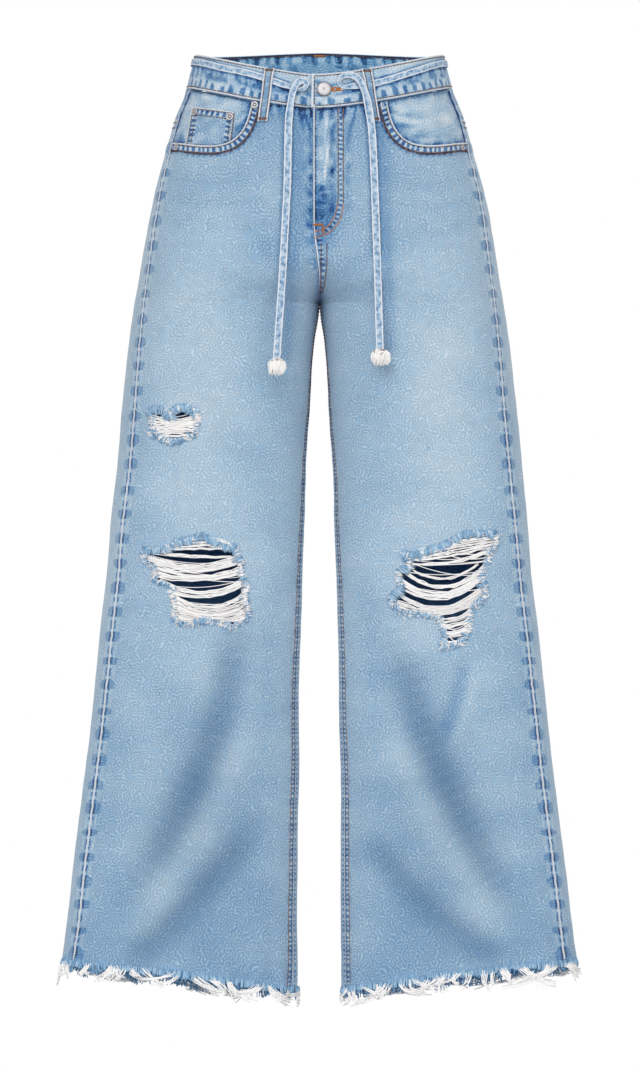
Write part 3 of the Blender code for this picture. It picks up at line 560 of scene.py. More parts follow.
def measure(outline, x, z):
    """Signed distance to a closed outline, positive inside, with the nearest point and the length run there."""
    starts = np.asarray(outline, float)
    ends = np.roll(starts, -1, axis=0)
    run = np.concatenate([[0.0], np.cumsum(np.linalg.norm(ends - starts, axis=1))])
    best = np.full(x.shape, np.inf)
    near_x, near_z, at = np.zeros((3, *x.shape))
    inside = np.zeros(x.shape, bool)
    for k, (a, b) in enumerate(zip(starts, ends)):
        d = b - a
        t = np.clip(((x - a[0]) * d[0] + (z - a[1]) * d[1]) / (d @ d), 0.0, 1.0)
        px, pz = a[0] + t * d[0], a[1] + t * d[1]
        distance = np.hypot(x - px, z - pz)
        closer = distance < best
        best = np.where(closer, distance, best)
        near_x = np.where(closer, px, near_x)
        near_z = np.where(closer, pz, near_z)
        at = np.where(closer, run[k] + t * math.hypot(*d), at)
        crosses = (a[1] > z) != (b[1] > z)
        with np.errstate(divide="ignore", invalid="ignore"):
            inside ^= crosses & (x < (b[0] - a[0]) * (z - a[1]) / (b[1] - a[1]) + a[0])
    return np.where(inside, best, -best), near_x, near_z, at


def outside_by(outline, x, z):
    """Distance from an outline outside it, and 0 inside it."""
    return np.clip(-measure(outline, x, z)[0], 0.0, None)


def close_to(outline, x, z, margin):
    """Which points lie in an outline's box or within a margin of it."""
    (low_x, low_z), (high_x, high_z) = np.min(outline, axis=0) - margin, np.max(outline, axis=0) + margin
    return (x > low_x) & (x < high_x) & (z > low_z) & (z < high_z)


def beside_line(line, x, z):
    """Signed distance of points from an open line in x and z, and how far along it they lie."""
    along, across = normals_of(line)
    gap = np.stack([x, z], axis=1)[:, None] - line[None]
    near = np.argmin(np.sum(gap ** 2, axis=2), axis=1)
    offset = gap[np.arange(len(near)), near]
    return np.sum(offset * across[near], axis=1), lengths(line)[near] + np.sum(offset * along[near], axis=1)


def rip_outline(outline, seed):
    """A rip's outline with small steps and an uneven edge."""
    rng = np.random.default_rng(seed)
    steps = 1 + int(lengths(np.array(outline))[-1] / 2.2)
    closed = evenly(np.array(outline + outline[:1]), steps)[:-1]
    return closed + rng.normal(0.0, 0.35, closed.shape)


MOUTH_LINE = smooth_path(MOUTH, 90)
MOUTH_OUTLINE = np.concatenate([MOUTH_LINE, [(MOUTH_CLOSE[0], MOUTH[-1][1]), MOUTH_CLOSE,
                                             (MOUTH[0][0], MOUTH_CLOSE[1])]])
RIP_EDGES = {name: rip_outline(outline, 40 + k) for k, (name, _, outline, _) in enumerate(RIPS)}


# ---------------------------------------------------------------- the cloth's finer relief

def outseam_distance(angle, z):
    """Length of cloth from a point to the side seam, on either face."""
    half = (column(FORM, OUTER, z) - column(FORM, INNER, z)) / 2.0
    depth = column(FORM, DEPTH["front"], z)
    seam = outseam(z)

    def pace(turn):
        """Length of cloth over one radian."""
        return np.hypot(half * np.sin(turn), depth * np.cos(turn))

    here = pace(np.radians(np.where(angle > 180.0, 360.0 - angle, angle)))
    return np.abs(np.radians(angle - seam)) * (here + pace(np.radians(seam))) / 2.0


def mouth_relief(x, z):
    """Hem of the pocket mouth, rolled and puckered, and the hollow below its stitches."""
    distance, _, _, at = measure(MOUTH_OUTLINE, np.abs(x), z)
    rolled = window(-distance, -0.5, 1.2, 9.0, 11.5)
    return rolled * (0.9 + 0.3 * ripple(at, 7.0, 1.5, 30.0, 35)) - 0.5 * bell(-distance, 12.0, 2.0)


def fly_relief(side, x, z):
    """The lapped fly, and the facing's edge inside it."""
    from_fly = x + FLY_LAP
    if side < 0:
        return -0.9 * bell(from_fly, 0.0, 7.0)
    ridge = 1.5 * bell(x, 9.6, 2.3) * (0.75 + 0.35 * wobble(z, x, 26.0, 5))
    hollow = 1.7 * bell(x, 14.6, 3.0) * (0.75 + 0.35 * wobble(z, x, 20.0, 6))
    return 0.9 * (1.0 - smooth(from_fly, 3.0, 6.0)) + 0.5 + ridge - hollow


def relief(side, angle, z):
    """Height of the cloth above the form: creases, puckers along seams, hems, rolled edges, unevenness."""
    angle = np.asarray(angle, float)
    z = np.asarray(z, float) + 0.0 * angle
    x = form(side, angle, z)[..., 0]
    front = np.mod(angle, 360.0) <= 180.0
    height = np.where(front, bent_lines(CREASES, side, "front", x, z), bent_lines(CREASES, side, "back", x, z))
    height += 0.5 * wobble(x, z, 120.0, 3 + side) + 0.12 * wobble(x, z, 38.0, 8 + side)
    # roping along the side seam, which pulls the cloth into short puckers
    pull = 0.25 + 0.45 * ripple(z, 12.5, 1.6, 60.0, 21 + side)
    height += bell(outseam_distance(angle, z), 0.0, 7.0) * pull
    # puckers below the waistband
    drop = np.clip(waist_seam(angle) - z, 0.0, None)
    height += 0.75 * np.exp(-drop / 11.0) * wobble(x, 0.22 * z, 9.5, 31)
    near = front & (z > -112.0) & (np.abs(x) > 60.0)
    if np.any(near):
        height[near] += mouth_relief(x[near], z[near])
    height += front * smooth(z, *FLY_OPEN) * fly_relief(side, x, z)
    # cloth curls out round each rip
    for name, rip_side, outline, _ in RIPS:
        close = front & close_to(outline, x, z, 22.0)
        if rip_side == side and np.any(close):
            curl = 1.5 + 0.7 * wobble(x[close], z[close], 14.0, 50)
            height[close] += curl * np.exp(-outside_by(RIP_EDGES[name], x[close], z[close]) / 6.0)
    # the raw hem waves and curls
    rise = np.clip(z - hem(angle), 0.0, None)
    height += 2.2 * np.exp(-rise / 26.0) * wobble(angle * 3.2, 0.0 * z, 78.0, 61 + side)
    return height


def on_cloth(side, angle, z, lift=0.0):
    """Point of the cloth's outer face, or a little above it."""
    return on_form(side, angle, z, relief(side, angle, z) + lift)


def cloth_line(side, angle, z, lift=0.0):
    """Points and normals along a line on a panel."""
    return on_cloth(side, angle, z, lift), outward(side, angle, z)


def form_line(side, angle, z, lift):
    """Points and normals along a line at a height above the form."""
    return on_form(side, angle, z, lift), outward(side, angle, z)


# ---------------------------------------------------------------- making meshes

def add_mesh(name, points, faces, materials, faces_of=None, uv=None, fields=None, sharp=None):
    """Mesh object from points in millimetres, with a UV map in metres and named values at its points."""
    mesh = bpy.data.meshes.new(name)
    mesh.from_pydata((np.asarray(points, float) * MM).tolist(), [], faces)
    for material in materials:
        mesh.materials.append(material)
    if faces_of is not None:
        mesh.polygons.foreach_set("material_index", np.asarray(faces_of, np.int32))
    if uv is not None:
        corners = np.empty(len(mesh.loops), np.int32)
        mesh.loops.foreach_get("vertex_index", corners)
        layer = mesh.uv_layers.new(name="cut")
        layer.data.foreach_set("uv", (np.asarray(uv, float)[corners] * MM).ravel())
    for key, values in (fields or {}).items():
        kind, entry = ("FLOAT_VECTOR", "vector") if np.ndim(values) == 2 else ("FLOAT", "value")
        mesh.attributes.new(key, kind, "POINT").data.foreach_set(entry, np.asarray(values, float).ravel())
    mesh.shade_smooth()
    if sharp is not None:
        mesh.set_sharp_from_angle(angle=math.radians(sharp))
    piece = bpy.data.objects.new(name, mesh)
    bpy.context.scene.collection.objects.link(piece)
    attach(piece, "root")
    return piece


def claim(piece, cad_node):
    """Hide the CAD node that a piece stands for."""
    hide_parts(cad_node)
    return piece


def grid_area(points):
    """Area of a grid of points, and its greatest width and length."""
    down, across = points[1:, :-1] - points[:-1, :-1], points[:-1, 1:] - points[:-1, :-1]
    area = np.linalg.norm(np.cross(down, across), axis=-1).sum()
    return area, running(points)[:, -1].max(), running(points, axis=0)[-1].max()


def cut_coordinates(points):
    """Flat coordinates of a grid: length across from its middle column, and height down it."""
    across = running(points)
    across -= across[:, across.shape[1] // 2][:, None]
    down = running(points, axis=0).mean(axis=1)[:, None]
    return np.stack([across, np.broadcast_to(-down, across.shape)], axis=-1).reshape(-1, 2)


def grid_quads(rows, columns, ring=False):
    """Corner numbers of the quads of a grid of points, (rows * columns, 4)."""
    i = np.arange(rows - 1)[:, None]
    j = np.arange(columns if ring else columns - 1)[None, :]
    a = i * columns + j
    b = i * columns + (j + 1) % columns
    return np.stack([a, b, b + columns, a + columns], axis=-1).reshape(-1, 4)


def leans(points, faces, outwards):
    """How far each quad's front looks along a direction."""
    a, b, c = (points[faces[:, k]] for k in range(3))
    return np.sum(np.cross(b - a, c - b) * outwards, axis=1)


def ring_faces(points, middle, rings=slice(None)):
    """Quads and end caps of a row of rings of points, their fronts away from the middle of each ring."""
    steps, count = points.shape[:2]
    flat = points.reshape(-1, 3)
    faces = grid_quads(steps, count, ring=True)
    caps = [list(range(count))[::-1], list(range((steps - 1) * count, steps * count))]
    behind = np.repeat(np.broadcast_to(middle, (steps, 3)), count, axis=0)
    lean = leans(flat, faces, (flat - behind)[faces[:, 0]]).reshape(steps - 1, count)
    if np.mean(lean[rings]) < 0.0:
        faces, caps = faces[:, ::-1], [cap[::-1] for cap in caps]
    return faces, faces.tolist() + caps


def shell(name, outer, inner, quads, materials, uv, fields):
    """Closed cloth: an outer and an inner face with a rim along every open edge."""
    used = np.unique(quads)
    renumber = np.full(len(outer), -1)
    renumber[used] = np.arange(len(used))
    quads = renumber[quads]
    outer, inner = outer[used], inner[used]
    if np.mean(leans(outer, quads, (outer - inner)[quads[:, 0]])) < 0.0:
        quads = quads[:, ::-1]
    count = len(outer)
    starts = quads.ravel()
    ends = np.roll(quads, -1, axis=1).ravel()
    rim = ~np.isin(starts * count + ends, ends * count + starts)
    a, b = starts[rim], ends[rim]
    rims = np.stack([b, a, a + count, b + count], axis=1)
    faces = np.concatenate([quads, quads[:, ::-1] + count, rims])
    kinds = np.repeat([0, 1, 2], [len(quads), len(quads), len(rims)])

    def twice(values):
        return np.concatenate([values[used], values[used]])

    return add_mesh(name, np.concatenate([outer, inner]), faces.tolist(), materials, kinds, twice(uv),
                    {key: twice(values) for key, values in fields.items()}, 50.0)


def tubes(name, paths, radii, material, tint, sides=4):
    """Closed threads along many paths at once, a tone for each; paths is (count, steps, 3)."""
    paths = np.asarray(paths, float)
    count, steps = paths.shape[:2]
    along = np.gradient(paths, axis=1)
    along /= np.maximum(np.linalg.norm(along, axis=-1, keepdims=True), 1e-9)
    up = np.where(np.abs(along[..., 1:2]) > 0.9, (1.0, 0.0, 0.0), (0.0, -1.0, 0.0))
    across = unit(np.cross(along, up))
    up = np.cross(across, along)
    turn = 2.0 * math.pi * (np.arange(sides) + 0.5) / sides
    ring = across[:, :, None] * np.cos(turn)[:, None] + up[:, :, None] * np.sin(turn)[:, None]
    points = paths[:, :, None] + ring * np.broadcast_to(radii, (count, steps))[..., None, None]
    first = (np.arange(count) * steps * sides)[:, None, None]
    caps = np.stack([np.arange(sides)[::-1], (steps - 1) * sides + np.arange(sides)])
    faces = [(part[None] + first).reshape(-1, part.shape[1]).tolist()
             for part in (grid_quads(steps, sides, ring=True), caps)]
    shape = (count, steps, sides)
    uv = np.stack([np.broadcast_to(np.arange(sides) / sides, shape),
                   np.broadcast_to(running(paths)[..., None], shape)], axis=-1).reshape(-1, 2)
    tint = np.broadcast_to(tint[:, None, None], shape).ravel()
    return add_mesh(name, points.reshape(-1, 3), faces[0] + faces[1], [material], None, uv, {"tint": tint})


# Half of a strap's section: share of the width, and share of the thickness with 1 where the raised edge adds
# to it and -1 where the hollow beside that edge takes some away.
STRAP_SECTION = ((-0.5, 0.0, 0), (-0.47, 0.38, 0), (-0.40, 0.5, 1), (-0.30, 0.5, -1), (-0.16, 0.5, 0), (0.0, 0.5, 0))
STRAP_HOLLOW = 0.3


def strap(name, path, across, face, width, thickness, materials, edge=0.0, wear=0.6, rope=0.0, white=0.0):
    """Flat band with rounded edges along a path; its width may change along it."""
    steps = len(path)
    width = np.broadcast_to(np.asarray(width, float), (steps,))[:, None]
    half = [(share, lift + edge * {0: 0.0, 1: 1.0, -1: -STRAP_HOLLOW}[kind]) for share, lift, kind in STRAP_SECTION]
    share, lift = np.array(half + [(-a, b) for a, b in half[-2::-1]]).T
    a = np.concatenate([share, share[-2:0:-1]])
    n = np.concatenate([lift, -np.minimum(lift, 0.5)[-2:0:-1]])
    points = path[:, None] + across[:, None] * (a * width)[..., None] + face[:, None] * (n * thickness)[:, None]
    _, faces = ring_faces(points, path)
    run = np.broadcast_to(lengths(path)[:, None], points.shape[:2])
    inward = (0.5 - np.abs(a)) * width * 0.72
    fields = {"across": np.broadcast_to(a * 2.0, run.shape).ravel(),
              "seam": np.stack([inward, run, np.full(run.shape, rope)], axis=-1).reshape(-1, 3),
              "edge": np.full(run.size, white), "wear": np.full(run.size, wear)}
    uv = np.stack([a * width, run], axis=-1).reshape(-1, 2)
    return add_mesh(name, points.reshape(-1, 3), faces, materials, None, uv, fields, 60.0)


# ---------------------------------------------------------------- making materials

def srgb(red, green, blue):
    """Linear colour from the usual 0 to 255 values."""
    shares = (value / 255.0 for value in (red, green, blue))
    return (*(v / 12.92 if v <= 0.04045 else ((v + 0.055) / 1.055) ** 2.4 for v in shares), 1.0)


def shades(*rows):
    """Stops of a colour ramp, each given as its position, red, green and blue."""
    return tuple((row[0], srgb(*row[1:])) for row in rows)


class Nodes:
    """Adds shader nodes to a tree. `add` and `flat_noise` give back the node, the others an output."""

    def __init__(self, tree):
        self.tree = tree

    def add(self, kind, inputs, **settings):
        """Node with its settings; inputs are linked where they are sockets and set where they aren't."""
        made = self.tree.nodes.new("ShaderNode" + kind)
        for key, value in settings.items():
            setattr(made, key, value)
        for key, value in inputs.items():
            if isinstance(value, bpy.types.NodeSocket):
                self.tree.links.new(value, made.inputs[key])
            else:
                made.inputs[key].default_value = value
        return made

    def calc(self, operation, a, b=0.0, c=0.0, clamp=False):
        """One sum."""
        return self.add("Math", {0: a, 1: b, 2: c}, operation=operation, use_clamp=clamp).outputs[0]

    def times(self, first, *others):
        """Product of several values."""
        for other in others:
            first = self.calc("MULTIPLY", first, other)
        return first

    def line(self, value, factor, plus):
        """A value times a factor, plus another."""
        return self.calc("MULTIPLY_ADD", value, factor, plus)

    def total(self, first, *others):
        """Sum of several values."""
        for other in others:
            first = self.calc("ADD", first, other)
        return first

    def vector(self, operation, inputs, output=0):
        """One sum with vectors."""
        return self.add("VectorMath", inputs, operation=operation).outputs[output]

    def noise(self, place, size, detail=2.0, stretch=None):
        """Noise between 0 and 1 whose features are about `size` millimetres across."""
        if stretch is not None:
            place = self.vector("MULTIPLY", {0: place, 1: (*stretch, 1.0)})
        return self.flat_noise(place, size, detail).outputs["Fac"]

    def flat_noise(self, place, size, detail):
        """Noise node in two directions."""
        inputs = {"Vector": place, "Scale": 1.0 / size, "Detail": detail}
        return self.add("TexNoise", inputs, noise_dimensions="2D")

    def remap(self, value, low, high, to_low=0.0, to_high=1.0):
        """Value eased from one range to another."""
        return self.add("MapRange", {0: value, 1: low, 2: high, 3: to_low, 4: to_high},
                        interpolation_type="SMOOTHSTEP").outputs[0]

    def window(self, value, low, full, past, end):
        """0 before low, 1 between full and past, 0 again after end."""
        return self.times(self.remap(value, low, full), self.remap(value, end, past))

    def mix(self, share, first, second):
        """Colour mixed by a share."""
        return self.add("Mix", {0: share, 6: first, 7: second}, data_type="RGBA").outputs[2]

    def ramp(self, value, stops):
        """Colour from a value through a list of (position, colour)."""
        made = self.add("ValToRGB", {0: value})
        elements = made.color_ramp.elements
        elements.remove(elements[1])
        elements[0].position, elements[0].color = stops[0]
        for position, colour in stops[1:]:
            elements.new(position).color = colour
        return made.outputs[0]

    def field(self, name, output="Fac"):
        """Named value stored at the mesh's points."""
        return self.add("Attribute", {}, attribute_name=name).outputs[output]


class Surface(Nodes):
    """A material in the making."""

    def __init__(self, name, roughness, metallic=0.0, specular=0.3, sheen=0.0):
        self.material = bpy.data.materials.new(name)
        self.material.use_nodes = True
        super().__init__(self.material.node_tree)
        self.shader = self.tree.nodes["Principled BSDF"]
        for key, value in (("Roughness", roughness), ("Metallic", metallic), ("Specular IOR Level", specular),
                           ("Sheen Weight", sheen), ("Sheen Roughness", 0.6)):
            self.shader.inputs[key].default_value = value

    def place_in_mm(self):
        """The cloth's own flat coordinates, in millimetres."""
        flat = self.add("UVMap", {}, uv_map="cut").outputs[0]
        return self.vector("SCALE", {0: flat, 3: 1.0 / MM})

    def twill(self, place):
        """Fine diagonal ribs of the weave."""
        across, down, _ = self.add("SeparateXYZ", {0: place}).outputs
        return self.calc("SINE", self.total(self.times(across, 3.2), self.times(down, 2.1)))

    def worms(self, place):
        """Fine curled ridges at an even spacing: waves of one length, a few directions strong in each place."""
        warp = self.flat_noise(place, 16.0, 1.0).outputs[1]
        bent_place = self.vector("MULTIPLY_ADD", {0: warp, 1: (9.0, 9.0, 0.0), 2: place})
        zones = self.add("SeparateXYZ", {0: self.flat_noise(place, 15.0, 0.0).outputs[1]}).outputs
        strengths = [self.remap(zone, 0.36, 0.54) for zone in zones]
        waves = []
        for number, (turn, stretch, shift) in enumerate(WORM_WAVES):
            pace = 2.0 * math.pi * stretch / WORM
            way = (pace * math.cos(math.radians(turn)), pace * math.sin(math.radians(turn)), 0.0)
            phase = self.vector("DOT_PRODUCT", {0: bent_place, 1: way}, "Value")
            wave = self.calc("SINE", self.total(phase, shift))
            waves.append(self.times(wave, strengths[number * 3 // len(WORM_WAVES)]))
        return self.remap(self.total(*waves), -0.9, 1.7)

    def paint(self, colour, height, depth):
        """Link the colour, and a bump whose full height is `depth` millimetres."""
        self.tree.links.new(colour, self.shader.inputs["Base Color"])
        bump = self.add("Bump", {"Height": height, "Strength": 1.0, "Distance": depth * MM})
        self.tree.links.new(bump.outputs[0], self.shader.inputs["Normal"])
        return self.material


# ---------------------------------------------------------------- the materials

DENIM_SHADES = shades((0.00, 16, 36, 72), (0.16, 36, 84, 142), (0.34, 82, 130, 176), (0.50, 124, 158, 190),
                      (0.62, 154, 184, 208), (0.74, 183, 202, 217), (0.87, 208, 220, 230), (1.00, 238, 240, 240))
# A lighter, bluer copy of the denim for the band's inside: painted light, so that the shaded inside shows blue.
BAND_INSIDE_PAINTED_LIGHT_SHADES = shades((0.00, 20, 60, 104), (0.30, 66, 122, 172), (0.55, 128, 182, 220), (0.80, 178, 214, 238),
                       (1.00, 228, 238, 246))
# Painted light: the inner face is lighter than the cloth's own, so that its shaded inside shows blue.
LINING_PAINTED_LIGHT_SHADES = shades((0.0, 62, 108, 164), (0.5, 112, 164, 214), (1.0, 160, 202, 236))
COMBED_SHADES = shades((0.3, 80, 132, 182), (0.52, 132, 178, 216), (0.7, 196, 216, 234))
TAPE_SHADES = shades((0.34, 96, 132, 170), (0.47, 146, 175, 202), (0.62, 196, 211, 226))
STEEL_SHADES = shades((0.3, 158, 155, 159), (0.5, 180, 177, 180), (0.7, 196, 193, 196))
ABRADED = srgb(222, 227, 232)
# Painted shade colour laid over the folds and the hanging calf.
PAINTED_FOLD_SHADE = srgb(60, 98, 134)
FRAYED_INSIDE = srgb(60, 98, 148)
TAPE_EDGE = srgb(224, 230, 238)
# Painted shade along the tape's outermost edges.
TAPE_EDGE_SHADE = srgb(92, 130, 172)
GRIME = srgb(52, 52, 62)
RUNG = 5.8                 # spacing of the rungs in sewn hems
ROPE = 28.0                # spacing of the large ovals beside a seam, with a small mark between two of them
WORM = 3.5                 # spacing of the curled ridges in the washed cloth
WORM_WAVES = (
    # direction in degrees, stretch, shift
    (5, 1.0, 0), (29, 0.93, 1.7), (58, 1.06, 4.1), (83, 0.97, 2.6), (107, 1.08, 5.3), (139, 0.95, 0.9),
    (163, 1.02, 3.4),
)
OVAL = 12.0                # spacing of the dark ovals along the waistband


def roping(m, distance, along, jitter, ragged):
    """Soft blue ovals at a steady pace with short dark marks hard by the seam, pale cloth between them."""
    pace = m.calc("SINE", m.times(m.line(jitter, 14.0, along), 2.0 * math.pi / ROPE))
    large = m.remap(m.total(pace, ragged), -0.2, 0.6)
    small = m.remap(m.calc("SUBTRACT", ragged, pace), 0.55, 0.9)
    hard = m.window(distance, 0.8, 1.4, 3.0, 5.2)
    past = m.calc("SUBTRACT", distance, m.times(m.remap(pace, -0.6, 0.9), 9.5))
    soft = m.times(m.remap(distance, 0.8, 1.6), m.remap(past, 4.0, 0.5))
    outline = m.window(distance, 4.0, 7.0, 8.5, 11.0)
    return m.total(m.times(m.line(large, -0.24, 0.04), soft),
                   m.times(m.line(large, -0.26, m.times(small, -0.34)), hard), m.times(outline, 0.06))


def band_ovals(m, place, distance, beside, rope, ragged, uneven_along):
    """The band's dark ovals, close together along its lower edge and looser further up."""
    pace = m.calc("SINE", m.times(uneven_along, 2.0 * math.pi / OVAL))
    tall = m.calc("SUBTRACT", m.line(m.noise(beside, 9.0, 0.0), 9.0, 7.0), distance)
    row = m.times(m.remap(distance, 2.4, 4.4), m.remap(tall, -1.5, 2.5), m.remap(rope, 0.1, 0.4))
    upper = m.window(distance, 10.0, 15.0, 30.0, 36.0)
    blot = m.remap(m.total(pace, ragged), -0.4, 0.7)
    loose = m.remap(m.noise(place, 12.0, 1.5, stretch=(1.0, 0.7)), 0.42, 0.62)
    pale = m.window(distance, 2.0, 4.0, 9.0, 17.0)
    return m.times(blot, row), m.times(loose, upper), pale


def denim(name, colours=DENIM_SHADES, level=0.0, ropes=1.0, ovals=0.0, fibre=1.0):
    """Washed denim: wear and painted shade from the mesh, roping along the seams, rungs in sewn hems, twill, curled
    pale lines and a painted shade colour over the folds.
    """
    m = Surface(name, 0.88, specular=0.2, sheen=0.2)
    place = m.place_in_mm()
    distance, along, rope = m.add("SeparateXYZ", {0: m.field("seam", "Vector")}).outputs
    lines = m.worms(place)
    flecks = m.noise(place, 1.6)
    streaks = m.noise(place, 1.0, 1.0, stretch=(0.75, 0.05))
    clouds = m.noise(place, 60.0, stretch=(0.7, 1.6))
    mottle = m.noise(place, 9.0)
    wear = m.total(m.field("wear"), level, m.line(clouds, 0.07, -0.035), m.line(mottle, 0.07, -0.035),
                   m.line(lines, 0.155 * fibre, -0.085 * fibre), m.line(flecks, 0.08, -0.04),
                   m.line(streaks, 0.06, -0.03))
    beside = m.add("CombineXYZ", {0: m.times(distance, 0.55), 1: along}).outputs[0]
    jitter = m.noise(beside, 21.0, 1.0)
    ragged = m.line(m.noise(beside, 4.0, 1.0), 0.9, -0.45)
    wear = m.line(m.times(roping(m, distance, along, jitter, ragged), rope), ropes, wear)
    # rungs across a sewn hem: pale ovals between dark gaps
    uneven_along = m.line(jitter, 9.0, along)
    rungs = m.calc("SINE", m.times(uneven_along, 2.0 * math.pi / RUNG))
    rung = m.line(m.remap(rungs, -0.3, 0.6), 0.50, -0.30)
    wear = m.total(wear, m.times(rung, m.window(distance, 2.2, 3.4, 7.4, 8.6), m.field("ladder")))
    if ovals > 0.0:
        row, upper, pale = band_ovals(m, place, distance, beside, rope, ragged, uneven_along)
        wear = m.total(wear, m.times(row, -0.44 * ovals), m.times(upper, -0.30 * ovals), m.times(pale, 0.13 * ovals))
    colour = m.ramp(m.calc("MAXIMUM", wear, 0.0), colours)
    # the abraded edge of a seam or fold is nearly white
    abraded = m.times(m.remap(distance, 2.0, 1.1), m.field("edge"))
    abraded = m.calc("MULTIPLY", abraded, m.line(flecks, 0.5, 0.66), clamp=True)
    colour = m.mix(abraded, colour, ABRADED)
    # combed out warp near the raw edges
    combed = m.ramp(m.noise(place, 1.0, 1.0, stretch=(0.8, 0.04)), COMBED_SHADES)
    colour = m.mix(m.field("fray"), colour, combed)
    # painted shade over the folds, the hanging calf and the lowest part of the legs
    colour = m.mix(m.field("dusk"), colour, PAINTED_FOLD_SHADE)
    height = m.total(m.times(m.twill(place), 0.08), m.times(flecks, 0.45), m.times(lines, 0.9 * fibre),
                     m.times(streaks, 0.35))
    return m.paint(colour, height, 0.5)


def lining():
    """Inner face of the cloth, painted lighter than it is so that it shows blue where the light hardly reaches, and
    darker navy near raw edges.
    """
    m = Surface("denim_inside_painted_lighter", 0.95, specular=0.1)
    place = m.place_in_mm()
    value = m.total(m.times(m.noise(place, 30.0, 3.0), 0.5), m.times(m.noise(place, 1.5), 0.5),
                    m.times(m.twill(place), 0.06))
    return m.paint(m.mix(m.field("fray"), m.ramp(value, LINING_PAINTED_LIGHT_SHADES), FRAYED_INSIDE), value, 0.4)


def thread_material(name, *rows):
    """Spun thread: a tone for each thread, and its twist as bump."""
    m = Surface(name, 0.85, specular=0.25)
    fibres = m.noise(m.place_in_mm(), 0.8)
    value = m.total(m.times(m.field("tint"), 0.72), m.times(fibres, 0.4), -0.05)
    return m.paint(m.ramp(value, shades(*rows)), fibres, 0.25)


def tape_material():
    """Raw-edged tape: white edges, a pale mottled blue middle, and a thin painted shade along its outermost edges."""
    m = Surface("drawstring_tape", 0.9, specular=0.2, sheen=0.1)
    place = m.place_in_mm()
    from_middle = m.calc("ABSOLUTE", m.field("across"))
    mottle = m.total(m.times(m.noise(place, 5.5), 0.75), m.times(m.noise(place, 1.4), 0.25))
    ragged = m.total(from_middle, m.line(m.noise(place, 2.2), 0.3, -0.15))
    colour = m.mix(m.remap(ragged, 0.56, 0.70), m.ramp(mottle, TAPE_SHADES), TAPE_EDGE)
    # a thin painted shade along the tape's very edges
    colour = m.mix(m.remap(from_middle, 0.90, 0.96), colour, TAPE_EDGE_SHADE)
    return m.paint(colour, m.total(m.times(m.twill(place), 0.2), mottle), 0.5)


def steel_material():
    """Worn bright metal with fine scratches and a darker hollow."""
    m = Surface("bright_metal", 0.5, metallic=0.75, specular=0.5)
    place = m.add("TexCoord", {}).outputs["Object"]
    scratches, cloudy = (m.add("TexNoise", {"Vector": place, "Scale": scale, "Detail": detail}).outputs["Fac"]
                         for scale, detail in ((900.0, 3.0), (160.0, 2.0)))
    worn = m.total(m.times(scratches, 0.4), m.times(cloudy, 0.6))
    colour = m.mix(m.field("grime"), m.ramp(worn, STEEL_SHADES), GRIME)
    m.tree.links.new(m.remap(worn, 0.3, 0.7, 0.44, 0.62), m.shader.inputs["Roughness"])
    return m.paint(colour, scratches, 0.05)


DENIM = denim("denim_washed")
DENIM_BAND = denim("denim_waistband", level=0.03, ropes=0.8, ovals=1.0, fibre=0.8)
# the band's inside, painted lighter and bluer than its outside
DENIM_BAND_INSIDE_PAINTED_LIGHTER = denim("denim_waistband_inside_painted_lighter", BAND_INSIDE_PAINTED_LIGHT_SHADES, level=0.06, ovals=0.8)
DENIM_LOOP = denim("denim_belt_loops", level=-0.03, ropes=0.6, fibre=0.5)
DENIM_FACING = denim("denim_facing", level=0.04, ropes=0.6, fibre=0.9)
LINING = lining()
RIM = thread_material("raw_edge", (0.0, 120, 150, 186), (0.5, 178, 198, 218), (1.0, 226, 228, 232))
WEFT = thread_material("weft_threads", (0.0, 206, 203, 205), (0.3, 234, 231, 231), (0.6, 247, 245, 244),
                       (1.0, 253, 252, 251))
WARP = thread_material("warp_threads", (0.0, 88, 132, 174), (0.3, 126, 166, 200), (0.6, 160, 194, 219),
                       (1.0, 206, 222, 236))
SEWING = {
    "brown": thread_material("stitch_brown", (0.0, 74, 54, 50), (0.5, 126, 94, 78), (1.0, 176, 136, 108)),
    "orange": thread_material("stitch_orange", (0.0, 150, 88, 44), (0.5, 200, 126, 62), (1.0, 226, 160, 98)),
    "navy": thread_material("stitch_navy", (0.0, 24, 34, 58), (0.5, 48, 62, 92), (1.0, 84, 100, 132)),
}
TAPE_CLOTH = tape_material()
METAL = steel_material()
CLOTH = [DENIM, LINING, RIM]
BAND_CLOTH = [DENIM_BAND, DENIM_BAND_INSIDE_PAINTED_LIGHTER]
FACING_CLOTH = [DENIM_FACING, LINING, RIM]


# ---------------------------------------------------------------- stitches

SEWN = {"brown": [], "orange": [], "navy": []}
TACKED = {"brown": [], "orange": []}
UPWARDS = np.array((0.0, 0.0, 1.0))
LEFTWARDS = np.array((1.0, 0.0, 0.0))
FORWARDS = np.array((0.0, -1.0, 0.0))


def sew(colour, line, length=STITCH, gap=STITCH_GAP):
    """Row of stitches along points with normals."""
    points, normals = line
    run = lengths(points)
    count = max(1, int(run[-1] / (length + gap)))
    starts = (np.arange(count) + 0.5) * run[-1] / count - length / 2.0
    at = starts[:, None] + length * np.array((0.0, 0.18, 0.5, 0.82, 1.0))
    lift = np.array((-0.30, 0.14, 0.26, 0.14, -0.30))
    place, up = (np.stack([np.interp(at, run, values[:, k]) for k in range(3)], axis=-1)
                 for values in (points, normals))
    SEWN[colour].append(place + up * lift[:, None])


